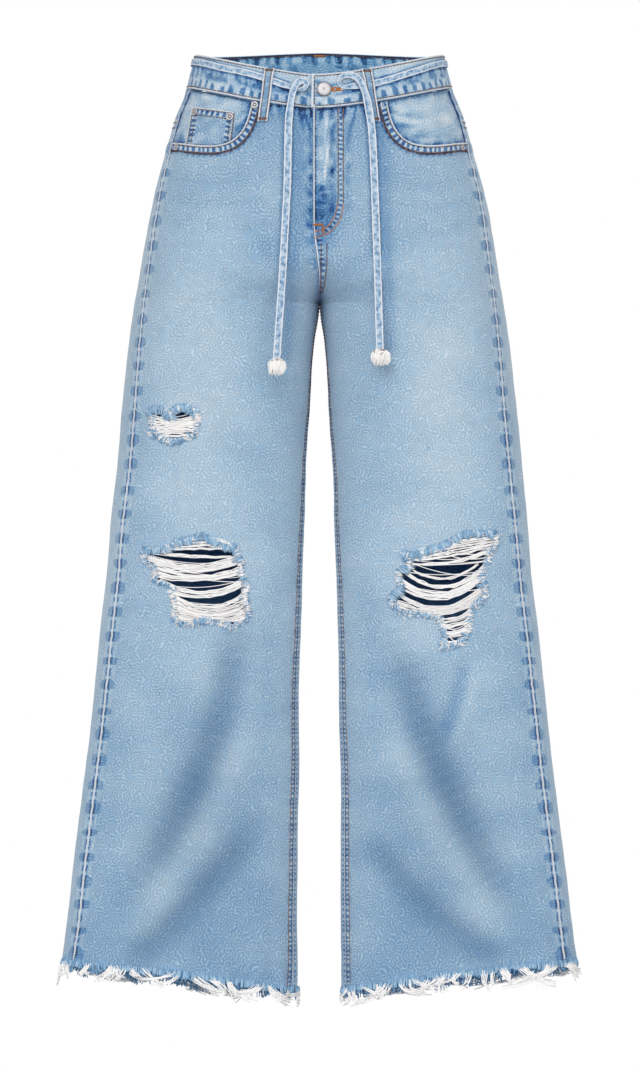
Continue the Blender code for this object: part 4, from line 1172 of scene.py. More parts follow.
def bartack(colour, centre, along, across, normal, length, width):
    """Dense bar of stitches that lie across its length."""
    count = int(length / 0.62)
    middle = centre + unit(along) * ((np.arange(count) + 0.5) / count - 0.5)[:, None] * length
    share = np.array((-0.5, -0.4, 0.0, 0.4, 0.5))
    lift = np.array((-0.2, 0.45, 0.75, 0.45, -0.2))
    section = unit(across) * (share * width)[:, None] + normal * lift[:, None]
    TACKED[colour].append(middle[:, None] + section[None])


def place_stitches():
    """Turn the gathered rows into thread."""
    rng = np.random.default_rng(300)
    profile = np.array((0.75, 1.0, 1.0, 1.0, 0.75))
    for kind, gathered, radius in (("rows", SEWN, STITCH_RADIUS), ("tacks", TACKED, TACK_RADIUS)):
        for colour, groups in gathered.items():
            paths = np.concatenate(groups)
            piece = tubes("stitch_" + kind + "_" + colour, paths, radius * profile[None], SEWING[colour],
                          rng.uniform(0.0, 0.9, len(paths)), 5)


# ---------------------------------------------------------------- grids of cloth

HAIR = 0.02                # half of the gap left between two panels
FAR = 1e3                  # distance of a seam that isn't there


def settled(height_at, angle_across, share):
    """Heights of an edge where the height depends on the angle and the angle on the height."""
    height = np.full(share.shape, WAIST_GUESS)
    for _ in range(ROUNDS):
        height = height_at(angle_across(height))
    return height


def panel_heights(face, top, rows):
    """Heights down a panel at each share across it, from its top edge to the level above the hem."""
    rise = RISE[face]
    share = np.linspace(0.0, 1.0, len(top))
    heights = [between(top, HIP_LEVEL, k / rows[0]) for k in range(rows[0])]
    for outer in np.linspace(HIP_LEVEL, CROTCH, rows[1] + 1):
        inner = CROTCH + rise * min(1.0, (outer - CROTCH) / rise) ** 2 + max(0.0, outer - CROTCH - rise)
        heights.append(between(outer, inner, (1.0 - share) ** 2))
    return heights + [np.full(share.shape, z) for z in np.linspace(CROTCH, HEM_LEVEL, rows[2] + 1)[1:]]


def panel_grid(side, face, top_at, columns, rows):
    """Angles, heights and points of a long panel; top_at gives its top edge's height from the angle."""
    share = np.linspace(0.0, 1.0, columns + 1)
    top = settled(top_at, lambda height: panel_angle(side, face, height, share), share)
    heights = panel_heights(face, top, rows)
    foot = hem(panel_angle(side, face, np.full(share.shape, HEM_INNER), share))
    heights += [between(HEM_LEVEL, foot, step) for step in np.linspace(0.0, 1.0, rows[3] + 1)[1:]]
    return narrowed(side, face, np.array(heights), share)


def narrowed(side, face, z, share):
    """Angles, heights and points of a panel, its side edges drawn in by a hair."""
    angle = panel_angle(side, face, z, share[None, :])
    points = form(side, angle, z)
    for edge, beside in ((0, 1), (-1, -2)):
        step = np.linalg.norm(points[:, beside] - points[:, edge], axis=-1)
        angle[:, edge] += (angle[:, beside] - angle[:, edge]) * HAIR / step
    return angle, z, form(side, angle, z)


def nearest_seam(*seams):
    """Fields of the seam nearest to each point, from (distance, along, roping, white edge, rungs) of each."""
    shape = seams[0][0].shape
    stack = [np.array([np.broadcast_to(seam[k] if k < len(seam) else 0.0, shape) for seam in seams])
             for k in range(5)]
    pick = np.argmin(stack[0], axis=0)[None]
    distance, along, rope, edge, ladder = (np.take_along_axis(values, pick, axis=0)[0].ravel() for values in stack)
    return {"seam": np.stack([distance, along, rope], axis=1), "edge": edge, "ladder": ladder}


def across_panel(offset, run, angle, rows):
    """Angle in each row of a panel at a length of cloth from its inner edge."""
    return np.array([np.interp(offset, run[i], angle[i]) for i in rows])


# ---------------------------------------------------------------- how the legs are worn, and their painted shade

FOLD_DEPTH = 9.0           # depth at which a fold's painted shade is full
# Where the cloth is paler or darker: how much, distance from the middle and half width, height and half height.
WORN = {
    "both": ((0.13, 140, 60, -350, 190), (0.09, 120, 80, -590, 110)),
    "front": ((-0.05, 60, 60, -60, 30),),
    "back": ((0.08, 96, 60, -190, 80), (-0.12, 70, 90, -275, 26)),
}
# Spots that break up a dark mark: even part, spotted part, stretch sideways, size, seed.
FINE_SPOTS = (0.55, 0.75, 0.7, 11.0, 58)
COARSE_SPOTS = (0.5, 0.8, 0.6, 13.0, 59)
# Painted shade in upright marks beside the fly: in the hollow beside its ridge, outside the J and left of the
# lap's edge. Columns: how much, x, half width, the heights where each starts, is full, is full for the last
# time and ends, and its spots.
FLY_SHADE_MARKS = (
    (0.34, 14.8, 3.6, -172, -150, -50, -40, FINE_SPOTS),
    (0.16, 32.5, 3.2, -180, -150, -56, -40, FINE_SPOTS),
    (0.26, -11.0, 3.4, -205, -170, -60, -40, COARSE_SPOTS),
)


def leg_wear(side, face, x, z):
    """How worn the cloth of a leg is, with painted light and shade: pale thighs and knees, painted shade in the folds
    and creases, painted light on the inner legs and outer sides, and on a front the fly's marks and the painted
    shadow in the fork.
    """
    reach = np.abs(x)
    inner = reach - column(FORM, INNER, z)
    wear = 0.61 - 0.02 * smooth(z, -600.0, -780.0) - 0.04 * smooth(z, -880.0, -1040.0)
    for amount, middle, half_width, height, half_height in WORN["both"] + WORN[face]:
        wear = wear + amount * bell(reach, middle, half_width) * bell(z, height, half_height)
    wear += 0.05 * bell(reach, 190.0, 40.0) * smooth(z, -640.0, -760.0)
    # painted light on the inner legs and on the inner thighs by the fork, where the legs shade each other
    wear += 0.05 * bell(inner, 0.0, 34.0) * smooth(z, -235.0, -330.0)
    wear += 0.07 * bell(inner, 0.0, 26.0) * bell(z, -268.0, 40.0) * smooth(inner, 1.0, 8.0)
    # painted light along the outer sides of the legs, where the cloth turns away from the light
    wear += 0.08 * bell(reach, column(FORM, OUTER, z), 9.0)
    # darker in the folds, partly cloth less faded there and partly painted shade; painted shade in crease troughs and
    # painted light on crease ridges
    wear -= 0.05 * np.clip(bent_lines(FOLDS, side, face, x, z) / FOLD_DEPTH, 0.0, 1.2)
    wear += 0.028 * np.clip(bent_lines(CREASES, side, face, x, z), -4.0, 4.0)
    return wear + fly_wear(x, z) if face == "front" else wear


def spots(x, z, even, spotted, stretch, size, seed):
    """Uneven strength of a mark, about 1 where it is strongest."""
    return even + spotted * wobble(stretch * x, z, size, seed)


def fly_wear(x, z):
    """Pale strip down the lapped fly with a painted highlight on its ridge, painted shade beside it and under its
    foot, and a painted shadow in the fork below.
    """
    # painted shade under the fly's lower end and in the crotch
    wear = -0.30 * bell(x, 4.0, 17.0) * bell(z, -168.0, 30.0) - 0.07 * bell(x, 0.0, 9.0) * bell(z, -238.0, 34.0)
    streaked = 0.6 + 0.7 * wobble(1.2 * x, 0.1 * z, 3.4, 57)
    # a pale worn strip down the lap, with a painted highlight on its ridge
    strip = 0.12 * np.exp(-((x - 3.5) / 8.0) ** 4) + 0.13 * bell(x, 8.2, 3.2)
    wear += strip * window(z, -146.0, -112.0, -60.0, -44.0) * streaked
    for amount, middle, half_width, low, full, past, end, spotting in FLY_SHADE_MARKS:
        wear -= amount * bell(x, middle, half_width) * window(z, low, full, past, end) * spots(x, z, *spotting)
    # painted shade under the fly's ridge above the J's turn
    wear -= 0.30 * bell(x, 3.5, 8.0) * bell(z, -142.0, 13.0) * spots(x, z, *FINE_SPOTS)
    # painted shadow in the fork between the legs
    return wear - 0.14 * bell(x, 0.0, 6.0) * smooth(z, -228.0, -262.0)


def leg_dusk(side, face, x, z):
    """Painted shade on a leg: how far the folds, the hanging calf and the lowest part of the leg darken its colour.
    """
    folded = bent_lines(FOLDS, side, face, x, z) / FOLD_DEPTH
    calf = bell(z, -870.0, 130.0) * bell(np.abs(x), 132.0, 70.0)
    deep = 0.32 + 0.14 * bell(z, -810.0, 90.0)
    return deep * np.clip(folded, 0.0, 1.1) + 0.19 * calf + 0.05 * smooth(z, -900.0, -1010.0)


def hem_fray(rise, x, seed):
    """How combed out the cloth is near its raw hem."""
    return 0.9 * (1.0 - smooth(rise + 2.0 * wobble(x, 0.0 * x, 22.0, seed), 3.0, 8.5))


# ---------------------------------------------------------------- the fronts

# Middle between the two rows of the fly's J, from the waistband to the fork, and the rows themselves.
FLY_MIDDLE = ((24.2, -43), (24.3, -90), (24.3, -141), (23.1, -158), (18.5, -171.5), (9.3, -181.8), (-5.8, -187.5))
FLY_ROWS = (
    ((21.2, -43), (21.4, -90), (21.4, -140), (20, -156), (16, -169), (7.5, -179), (-6, -184)),
    ((27.2, -43), (27.2, -90), (27.3, -142), (26.2, -160), (21, -174), (11, -184.5), (-5.5, -191)),
)
FLY_TACKS = (
    # x, z, direction of the bar, length, width
    (-1.5, -175.5, (1.0, 0.0, 0.0), 11.0, 2.0),
    (4.4, -181.0, (0.0, 0.0, -1.0), 9.0, 1.6),
)
FLY_FOOT = -186.0          # below this the inner edge has rungs
MOUTH_ROWS = ((2.6, "brown"), (8.8, "brown"), (9.8, "navy"), (10.6, "brown"))      # distance from the edge


def cut_out(x, z, quads, outline, pull=1.1):
    """Keep the quads that aren't inside an outline, and draw the points at its edge onto it."""
    near = close_to(outline, x, z, 8.0)
    distance = np.full(x.shape, -FAR)
    near_x, near_z = x.copy(), z.copy()
    distance[near], near_x[near], near_z[near], _ = measure(outline, x[near], z[near])
    quads = quads[~np.all(distance[quads] > 0.0, axis=1)]
    move = distance > -pull
    return quads, np.where(move, near_x, x), np.where(move, near_z, z), move


def fly_seam(side, x, z):
    """Distance from the fly's J and the length along it, for the rungs between its two rows."""
    distance, at = np.full(x.shape, FAR), np.zeros(x.shape)
    if side > 0:
        near = (x > -14.0) & (x < 40.0) & (z > -205.0)
        away, at[near] = beside_line(smooth_path(FLY_MIDDLE, 160), x[near], z[near])
        distance[near] = np.where(np.abs(away) < 3.2, 5.4 + away, FAR)
    return distance, at


def front_seams(side, level, run, angle, x, z, mouth, mouth_at):
    """Fields of the seams of a front: fly, outseam, inner edge, waist seam and pocket mouth."""
    left = side > 0
    fly, fly_at, outer, waist, mouth, mouth_at, x, above = (
        values.reshape(level.shape) for values in
        (*fly_seam(side, x, z), outseam_distance(angle, z), waist_seam(angle) - z, np.abs(mouth), mouth_at, x,
         z > CROTCH))
    rungs = np.where((level < FLY_FOOT) & (left | ~above), 0.75, 0.0)
    return nearest_seam(
        (fly, fly_at, 0.0, 0.0, 0.85),
        (outer, level, 1.0, 0.95),
        (run, level + 500.0, np.where(above, 0.55 if left else 0.3, 0.45), np.where(above, 1.0 * left, 0.75), rungs),
        (waist + 0.8, x + 900.0, 1.0, 0.0),
        (mouth, mouth_at + 1500.0, 0.3, 1.0, 1.0))


def front_fray(side, angle, x, z):
    """How combed out a front is round its rips and near its hem."""
    fray = hem_fray(z - hem(angle), x, 72)
    ragged = 5.5 + 2.5 * wobble(x, z, 16.0, 71)
    for name, rip_side, _, _ in RIPS:
        if rip_side == side:
            combed = 1.0 - smooth(outside_by(RIP_EDGES[name], x, z), ragged * 0.4, ragged)
            fray = np.maximum(fray, 0.85 * combed)
    return fray


def tape_shade(side, x, z):
    """Shade on a front beside the free end of the drawstring, which hangs before it."""
    tape = RIGHT_END[5:] if side < 0 else LEFT_END[5:]
    past = x - np.interp(-z, [-point[1] for point in tape], [point[0] for point in tape])
    hanging = window(z, tape[-1][1] - 12.0, tape[-1][1] + 6.0, -50.0, -36.0)
    edges = 0.13 * bell(np.abs(past), 5.6, 1.8) * smooth(z, -230.0, -150.0)
    return (edges + 0.11 * bell(past, 11.0, 8.0)) * hanging


def front_wear(side, angle, x, z, mouth, mouth_at):
    """How worn a front is, with painted shade in dark scallops below the pocket mouth, under the band and beside the
    hanging tape, and the darker puckers under the band.
    """
    scallop = 0.6 + 0.4 * np.sin(mouth_at * 2.0 * math.pi / 6.4)
    below = np.clip(waist_seam(angle) - z, 0.0, None)
    puckers = smooth(wobble(x + 0.25 * side * below, 0.10 * z, 9.0, 31), -0.10, 0.40)
    length = 17.0 + 12.0 * wobble(x, 0.0 * x, 31.0, 32)
    middle = 0.50 + 0.50 * bell(x, 4.0, 50.0)
    return (leg_wear(side, "front", x, z) + 0.02 * wobble(x, z, 90.0, 90 + side)
            # painted shade: dark scallops below the pocket mouth's outer row, a painted shadow just under the band
            # and the tape's shade; the puckers under the band are darker too
            - 0.42 * bell(-mouth, 10.8, 1.9) * (-mouth < 25.0) * scallop
            - 0.12 * np.exp(-below / 4.0) - 0.46 * middle * bell(below, 0.0, length) * puckers
            - tape_shade(side, x, z))


def front_stitching(side, angle, z, run):
    """Rows down the inner leg, under the waistband and round the pocket mouth."""
    rows = [i for i in range(len(z)) if z[i, 0] < CROTCH + 0.5]
    for offset, colour in ((2.0, "navy"), (8.6, "brown")):
        sew(colour, cloth_line(side, across_panel(offset, run, angle, rows), z[rows, 0]))
    turn = panel_angle(side, "front", np.full(120, -36.0), np.linspace(0.01, 0.99, 120))
    sew("navy", cloth_line(side, turn, waist_seam(turn) - 1.1), 5.0, 0.3)
    for offset, colour in MOUTH_ROWS:
        x, z = (MOUTH_LINE - normals_of(MOUTH_LINE)[1] * offset).T
        turn = angle_at(x, z)
        row = (z < -41.0) & (turn < outseam(z) - OUTSEAM_SHORT)
        sew(colour, cloth_line(side, turn[row], z[row]))


def front_cloth(side):
    """Front leg with its pocket mouth, lapped fly and rips."""
    name = "front_" + hand(side)
    grid_angle, level, points = panel_grid(side, "front", waist_seam, FRONT_COLUMNS, FRONT_ROWS)
    run = running(points)
    x, z = points[..., 0].ravel(), level.ravel()
    quads, moved = grid_quads(*level.shape), np.zeros(x.shape, bool)
    for outline in [MOUTH_OUTLINE * (side, 1.0)] + [RIP_EDGES[rip[0]] for rip in RIPS if rip[1] == side]:
        quads, x, z, move = cut_out(x, z, quads, outline)
        moved |= move
    angle = np.where(moved, angle_at(x, z), grid_angle.ravel())
    mouth, _, _, mouth_at = measure(MOUTH_OUTLINE, np.abs(x), z)
    fields = front_seams(side, level, run, angle, x, z, mouth, mouth_at)
    fields.update(wear=front_wear(side, angle, x, z, mouth, mouth_at), fray=front_fray(side, angle, x, z),
                  dusk=leg_dusk(side, "front", x, z))
    outer, normal = cloth_line(side, angle, z)
    piece = shell(name + "_cloth", outer, outer - normal * PANEL, quads, CLOTH, cut_coordinates(points), fields)
    front_stitching(side, angle.reshape(level.shape), level, run)
    return claim(piece, name), points


def fly_stitching():
    """Edge row, the two rows of the J, the bartacks and the double row below."""
    z = np.linspace(-44.0, -181.0, 60)
    sew("navy", cloth_line(1, lap_angle(2.4 - FLY_LAP, z), z), 2.4, 1.0)
    for points in FLY_ROWS:
        path = smooth_path(points, 80)
        for colour, row in (("brown", path[path[:, 1] > -152.0]), ("orange", path[path[:, 1] < -150.0])):
            sew(colour, cloth_line(1, lap_angle(*row.T), row[:, 1]), STITCH, 0.3)
    for x, z, along, length, width in FLY_TACKS:
        centre, normal = cloth_line(1, lap_angle(x, z), z, 0.2)
        bartack("orange", centre, np.array(along), np.cross(normal, along), normal, length, width)
    z = np.linspace(-196.0, -252.0, 30)
    start = start_angle(z, RISE["front"])
    turn = np.radians(start)
    pace = np.hypot(column(FORM, OUTER, z) * np.sin(turn) / (1.0 + np.cos(turn)),
                    column(FORM, DEPTH["front"], z) * np.cos(turn))
    for offset in (2.0, 8.4):
        sew("brown", cloth_line(1, start + np.degrees(offset / pace), z))


# ---------------------------------------------------------------- the backs and yokes

def back_piece(name, side, angle, z, points, fields):
    """Cloth of a back or yoke, brought together with the other side's at the centre seam."""
    outer, normal = cloth_line(side, angle, z)
    inner = outer - normal * PANEL
    for face in (outer, inner):
        face[:, 0, 0] = np.where(z[:, 0] > CROTCH, side * HAIR, face[:, 0, 0])
    piece = shell(name + "_cloth", outer.reshape(-1, 3), inner.reshape(-1, 3), grid_quads(*z.shape), CLOTH,
                  cut_coordinates(points), fields)
    return claim(piece, name)


def back_cloth(side):
    """Back leg, from the yoke seam down."""
    angle, z, points = panel_grid(side, "back", lambda turn: yoke_seam(turn) - GAP / 2.0, BACK_COLUMNS, BACK_ROWS)
    run = running(points)
    fields = nearest_seam(
        (outseam_distance(np.mod(angle, 360.0), z), z, 1.0, 0.95),
        (run, z + 500.0, 0.4, 0.6, 0.75),
        (yoke_seam(angle) - z, points[..., 0] + 900.0, 0.4, 0.5, 0.75))
    x, flat_z = points[..., 0].ravel(), z.ravel()
    fields.update(fray=hem_fray(flat_z - hem(angle.ravel()), x, 73), dusk=leg_dusk(side, "back", x, flat_z),
                  wear=leg_wear(side, "back", x, flat_z) + 0.02 * wobble(x, flat_z, 90.0, 94 + side))
    piece = back_piece("back_" + hand(side), side, angle, z, points, fields)
    rows = [i for i in range(1, len(z)) if z[i, 0] > CROTCH]
    turn = panel_angle(side, "back", np.full(80, -80.0), np.linspace(0.01, 0.99, 80))
    for offset in (2.0, 8.0):
        if side > 0:
            sew("brown", cloth_line(side, across_panel(offset, run, angle, rows), z[rows, 0]))
        sew("brown", cloth_line(side, turn, yoke_seam(turn) - offset))
    return piece, points


def yoke_cloth(side):
    """Yoke between the waistband and the seat."""
    share = np.linspace(0.0, 1.0, BACK_COLUMNS + 1)
    z = np.array([settled(lambda turn: between(waist_seam(turn), yoke_seam(turn) + GAP / 2.0, step),
                          lambda height: panel_angle(side, "back", height, share), share)
                  for step in np.linspace(0.0, 1.0, 12)])
    angle, z, points = narrowed(side, "back", z, share)
    run, x = running(points), points[..., 0]
    below = waist_seam(angle) - z
    fields = nearest_seam(
        (outseam_distance(np.mod(angle, 360.0), z), z, 1.0, 0.95),
        (run, z, 0.7, 0.6),
        (below + 0.8, x + 900.0, 0.7, 0.0),
        (z - yoke_seam(angle), x + 400.0, 0.5, 0.8))
    # painted shadow just under the waistband
    fields["wear"] = leg_wear(side, "back", x.ravel(), z.ravel()) - 0.12 * np.exp(-below.ravel() / 5.0)
    piece = back_piece("yoke_" + hand(side), side, angle, z, points, fields)
    if side > 0:
        for offset in (2.0, 8.0):
            sew("brown", cloth_line(side, across_panel(offset, run, angle, range(len(z))), z[:, 0]))
    return piece, points


# ---------------------------------------------------------------- waistband and belt loops

ROUND_WAIST = 2.1          # millimetres of cloth to a degree of turn
BAND_START = float(turn_at(LAP_EDGE, WAIST_FRONT))
BAND_END = 360.0 + float(turn_at(LAP_UNDER, WAIST_FRONT))
BAND_CORNER = ((0.0, 1.2), (0.3, 0.3))      # drop below the band's edge, and how far its face stands back there
BAND_FLAT = (1.4, 25)      # where the flat part begins, and how many points it has
# The buttonhole: x of its eye and slit, and the sizes of the stitches round them.
EYE_X, EYE_RADIUS, EYE_REACH = 17.9, 1.2, (3.1, 3.0)
SLIT_X, SLIT_HALF, SLIT_REACH, SLIT_TAPER = (20.6, 27.8), 0.15, 2.1, 0.12
BAR_X, BAR_REACH = (14.1, 14.7, 15.3), 2.6


def on_band(turn, drop, lift):
    """Point on the waistband's outer face at a drop below its top edge, or a little above it."""
    turn, drop = np.broadcast_arrays(np.asarray(turn, float), np.asarray(drop, float))
    at = np.mod(turn, 360.0)
    around = turn * ROUND_WAIST
    puff = 0.22 * np.sin(math.pi * np.clip(drop / BAND_DEPTH, 0.0, 1.0)) + 0.3 * wobble(around, drop, 40.0, 81)
    pucker = 0.22 * wobble(around, 0.2 * drop, 9.0, 82) * smooth(drop, BAND_DEPTH * 0.35, BAND_DEPTH * 0.8)
    sink = (BAND + 2.0 * GAP) * smooth(turn, LAP_SINK, BAND_START + 360.0 - LAP_CLEAR)
    return round_waist(at, waist_top(waist_angle(at)) - drop, BAND_PROUD + puff + pucker - sink + lift)


def band_row(turn, drop, lift=0.0, out=1.0):
    """Points on the waistband, with normals that point outwards, or inwards where out is -1."""
    points = on_band(turn, drop, lift)
    return points, (points - on_band(turn, drop, lift - 1.0)) * out


def band_wear(turn, drop, points, inside):
    """How worn the band is, a little darker inside, with painted shadow beside the tape and the belt loops."""
    beside = np.abs(drop - column(WAIST_TAPE, 1, turn - 360.0)) - TAPE_WIDTH / 2.0
    tape_span = (turn > WAIST_TAPE[-1][0] + 362.0) & (turn < WAIST_TAPE[0][0] + 358.0)
    # painted shadow on the band beside the tape and beside the belt loops
    dark = 0.34 * bell(beside, 0.9, 1.2) * tape_span
    for _, x_top, x_foot, face, _ in LOOPS:
        beside = np.abs(points[..., 0] - between(x_top, x_foot, drop / LOOP_LENGTH)) - LOOP_WIDTH / 2.0
        dark = dark + 0.26 * bell(beside, 1.2, 1.3) * ((points[..., 1] < 0.0) == (face == "front"))
    return 0.62 + 0.06 * wobble(points[..., 0], points[..., 2], 34.0, 83) - 0.03 * inside - dark * ~inside


def band_stitching():
    """Rows near both edges on both faces, the row down the lap's end, and a bartack inside the back."""
    along = np.linspace(BAND_START + 1.4, BAND_END - 14.0, 900)
    for drop in (2.6, BAND_DEPTH - 2.4):
        points, normals = band_row(along, drop)
        sew("brown", (points, normals))
        sew("brown", (on_band(along, drop, -BAND), -normals))
    for drop in (1.0, 1.9):
        sew("navy", band_row(along, drop, -BAND, -1.0), 3.6, 0.3)
    down = np.linspace(3.0, BAND_DEPTH - 3.0, 20)
    sew("brown", band_row(np.full(down.shape, BAND_START + 1.2), down))
    bartack("orange", on_band(180.0, 3.4, -BAND), LEFTWARDS, UPWARDS, FORWARDS, 13.0, 2.4)


def waistband():
    """Folded strip once round and lapped, with rounded edges."""
    corner, back = np.array(BAND_CORNER).T
    flat = np.linspace(BAND_FLAT[0], BAND_DEPTH - BAND_FLAT[0], BAND_FLAT[1])
    drops = np.concatenate([corner, flat, BAND_DEPTH - corner[::-1]])
    backs = np.concatenate([back, 0.0 * flat, back[::-1]])
    drop, lift = np.concatenate([drops, drops[::-1]]), np.concatenate([-backs, backs - BAND])
    turn = np.linspace(BAND_START, BAND_END, 500)
    points = on_band(turn[:, None], drop[None, :], lift[None, :])
    quads, faces = ring_faces(points, points.mean(axis=1))
    turn, drop, inside = np.broadcast_arrays(turn[:, None], drop[None, :], (lift < -1.5)[None, :])
    run = turn * ROUND_WAIST
    from_end = np.minimum(turn - BAND_START, BAND_END - turn) * ROUND_WAIST
    fields = nearest_seam((BAND_DEPTH - drop + 200.0 * inside, run, 0.5, 1.0),
                          (drop, run + 900.0, np.where(inside, 1.4, 0.0), np.where(inside, 0.3, 1.0)),
                          (from_end, drop, 0.3, 1.0))
    fields["wear"] = band_wear(turn, drop, points, inside).ravel()
    down = np.broadcast_to(np.concatenate([drops, drops[::-1] + 60.0])[None, :], run.shape)
    kinds = np.concatenate([np.all(inside.ravel()[quads], axis=1), (False, False)])
    piece = add_mesh("waistband_cloth", points.reshape(-1, 3), faces, BAND_CLOTH, kinds,
                     np.stack([run, down], axis=-1).reshape(-1, 2), fields, 60.0)
    claim(piece, "waistband")
    lengths(points[:, 0])[-1]
    band_stitching()


def buttonhole():
    """Keyhole buttonhole beside the button: stitches that stand round an eye and a slit."""
    middle = BUTTON_AT[1]
    rows = []
    for side in (-1.0, 1.0):
        for x in np.linspace(*SLIT_X, 14):
            reach = SLIT_REACH - SLIT_TAPER * (x - SLIT_X[0])
            rows.append((x, middle + side * SLIT_HALF, x, middle + side * reach))
    for turn in np.linspace(0.0, 2.0 * math.pi, 16, endpoint=False):
        c, s = math.cos(turn), math.sin(turn)
        rows.append((EYE_X + EYE_RADIUS * c, middle + EYE_RADIUS * s,
                     EYE_X + EYE_REACH[0] * c, middle + EYE_REACH[1] * s))
    rows += [(x, middle - BAR_REACH, x, middle + BAR_REACH) for x in BAR_X]
    x0, z0, x1, z1 = np.array(rows).T[..., None]
    share = np.array((0.0, 0.2, 0.5, 0.8, 1.0))
    lift = np.array((-0.1, 0.45, 0.6, 0.45, -0.1))
    x, z = between(x0, x1, share), between(z0, z1, share)
    turn = turn_at(x, z)
    TACKED["orange"].append(on_band(turn, waist_top(waist_angle(turn)) - z, lift + 0.0 * x))


def loop_path(x_top, x_foot, face, tape):
    """Middle line of a belt loop, with its directions across and outwards."""
    over_band = BAND_PROUD + GAP
    over_tape = over_band + CAD_TAPE + 3.0 * GAP
    marks = ((0.6, over_band), (tape - LOOP_OVER - 2.0, over_band), (tape - LOOP_OVER + 2.0, over_tape),
             (tape + LOOP_OVER - 1.0, over_tape), (tape + LOOP_OVER + LOOP_SETTLE, over_band),
             (BAND_DEPTH - 1.0, over_band), (BAND_DEPTH + LOOP_STEP, 2.0 * GAP), (LOOP_LENGTH, 2.0 * GAP))
    drop = np.linspace(0.6, LOOP_LENGTH, 44)
    offset = np.interp(drop, *zip(*marks)) + 0.4
    offset = np.convolve(np.pad(offset, 2, mode="edge"), np.ones(5) / 5.0, mode="valid")
    x = between(x_top, x_foot, drop / LOOP_LENGTH)
    z = waist_top(angle_at(x, 0.0, face)) - drop
    turn = turn_at(x, z, face)
    spread = np.degrees(1.0 / column(FORM, OUTER, z))
    middle = round_waist(turn, z, offset + LOOP / 2.0)
    across = unit(round_waist(turn + spread, z, offset) - round_waist(turn - spread, z, offset))
    out = unit(np.cross(across, np.gradient(middle, axis=0)))
    away = middle - round_waist(turn, z, offset - 5.0)
    return middle, across, out * np.sign(np.sum(out * away, axis=1, keepdims=True))


def belt_loops():
    """Strips with white edges, a row of stitches inside each edge, and bartacks at both ends."""
    for name, x_top, x_foot, face, tape in LOOPS:
        middle, across, out = loop_path(x_top, x_foot, face, tape)
        piece = strap(name + "_cloth", middle, across, out, LOOP_WIDTH, LOOP, [DENIM_LOOP], 0.12,
                      rope=0.35, white=1.0)
        claim(piece, name)
        lengths(middle)[-1]
        top = middle + out * LOOP * 0.5
        for offset in (-3.3, 3.3):
            sew("brown", (top + across * offset, out), 2.6, 0.5)
        along = np.gradient(middle, axis=0)
        for at in (2, -3):
            bartack("brown", top[at], across[at], along[at], out[at], 9.4, 2.4)


# ---------------------------------------------------------------- pockets

# Painted shade of creases on the pocket facings: dark lines in the colour, with no relief.
FACING_CREASE_SHADE = (
    # side, face, start x, z, bend x, z, end x, z, strength, half width
    (1, "front", 80, -58, 92, -64, 112, -61, 1.0, 2.2),
    (1, "front", 82, -44, 96, -52, 124, -50, 0.6, 2.6),
    (1, "front", 84, -50, 98, -57, 118, -55, -0.5, 2.4),
    (1, "front", 92, -72, 110, -76, 138, -70, 0.5, 3.0),
    (-1, "front", -80, -52, -90, -60, -98, -68, 1.0, 2.6),
    (-1, "front", -86, -42, -92, -54, -98, -58, 0.6, 2.4),
    (-1, "front", -158, -62, -160, -70, -160, -76, 0.7, 3.0),
)
COIN_WIDTH = 49.0
COIN_ROWS_DOWN = (2.0, 9.0)                        # below the top edge
COIN_ROWS_ACROSS = (1.8, 5.8, 47.2, 43.2)          # from the inner edge
POCKET_WIDTH, POCKET_HEIGHT = 98.0, 112.0
POCKET_COLUMNS, POCKET_ROWS = 42, 50
POCKET_LINES_ACROSS = (2.0, 7.5, POCKET_WIDTH - 7.5, POCKET_WIDTH - 2.0)
POCKET_LINES_DOWN = (2.2, 13.0, POCKET_HEIGHT - 7.5, POCKET_HEIGHT - 2.0)


def patch(name, side, angle, z, lift, thickness, materials, fields, rests_on):
    """Small piece of cloth on the form, its outer face at a height above it."""
    outer, normal = (values.reshape(-1, 3) for values in form_line(side, angle, z, lift))
    points = form(side, angle, z)
    piece = shell(name + "_cloth", outer, outer - normal * thickness, grid_quads(*angle.shape), materials,
                  cut_coordinates(points), fields)
    claim(piece, name)
    area, width, length = grid_area(points)


def facing_grid(side):
    """Angles and heights of what shows inside a pocket mouth, from the waist seam to the facing's edge."""
    share = np.linspace(0.0, 1.0, 40)
    rows = []
    for step in np.linspace(0.0, 1.0, 18):
        z = np.full(share.shape, WAIST_GUESS)
        for _ in range(ROUNDS):
            angle = between(angle_at(FACING_EDGE[0][0], z), outseam(z) - OUTSEAM_SHORT, share)
            foot = np.interp(np.abs(form(side, angle, z)[:, 0]), *zip(*FACING_EDGE))
            z = between(waist_seam(angle), foot, step)
        rows.append((angle, z))
    return np.array(rows).transpose(1, 0, 2)


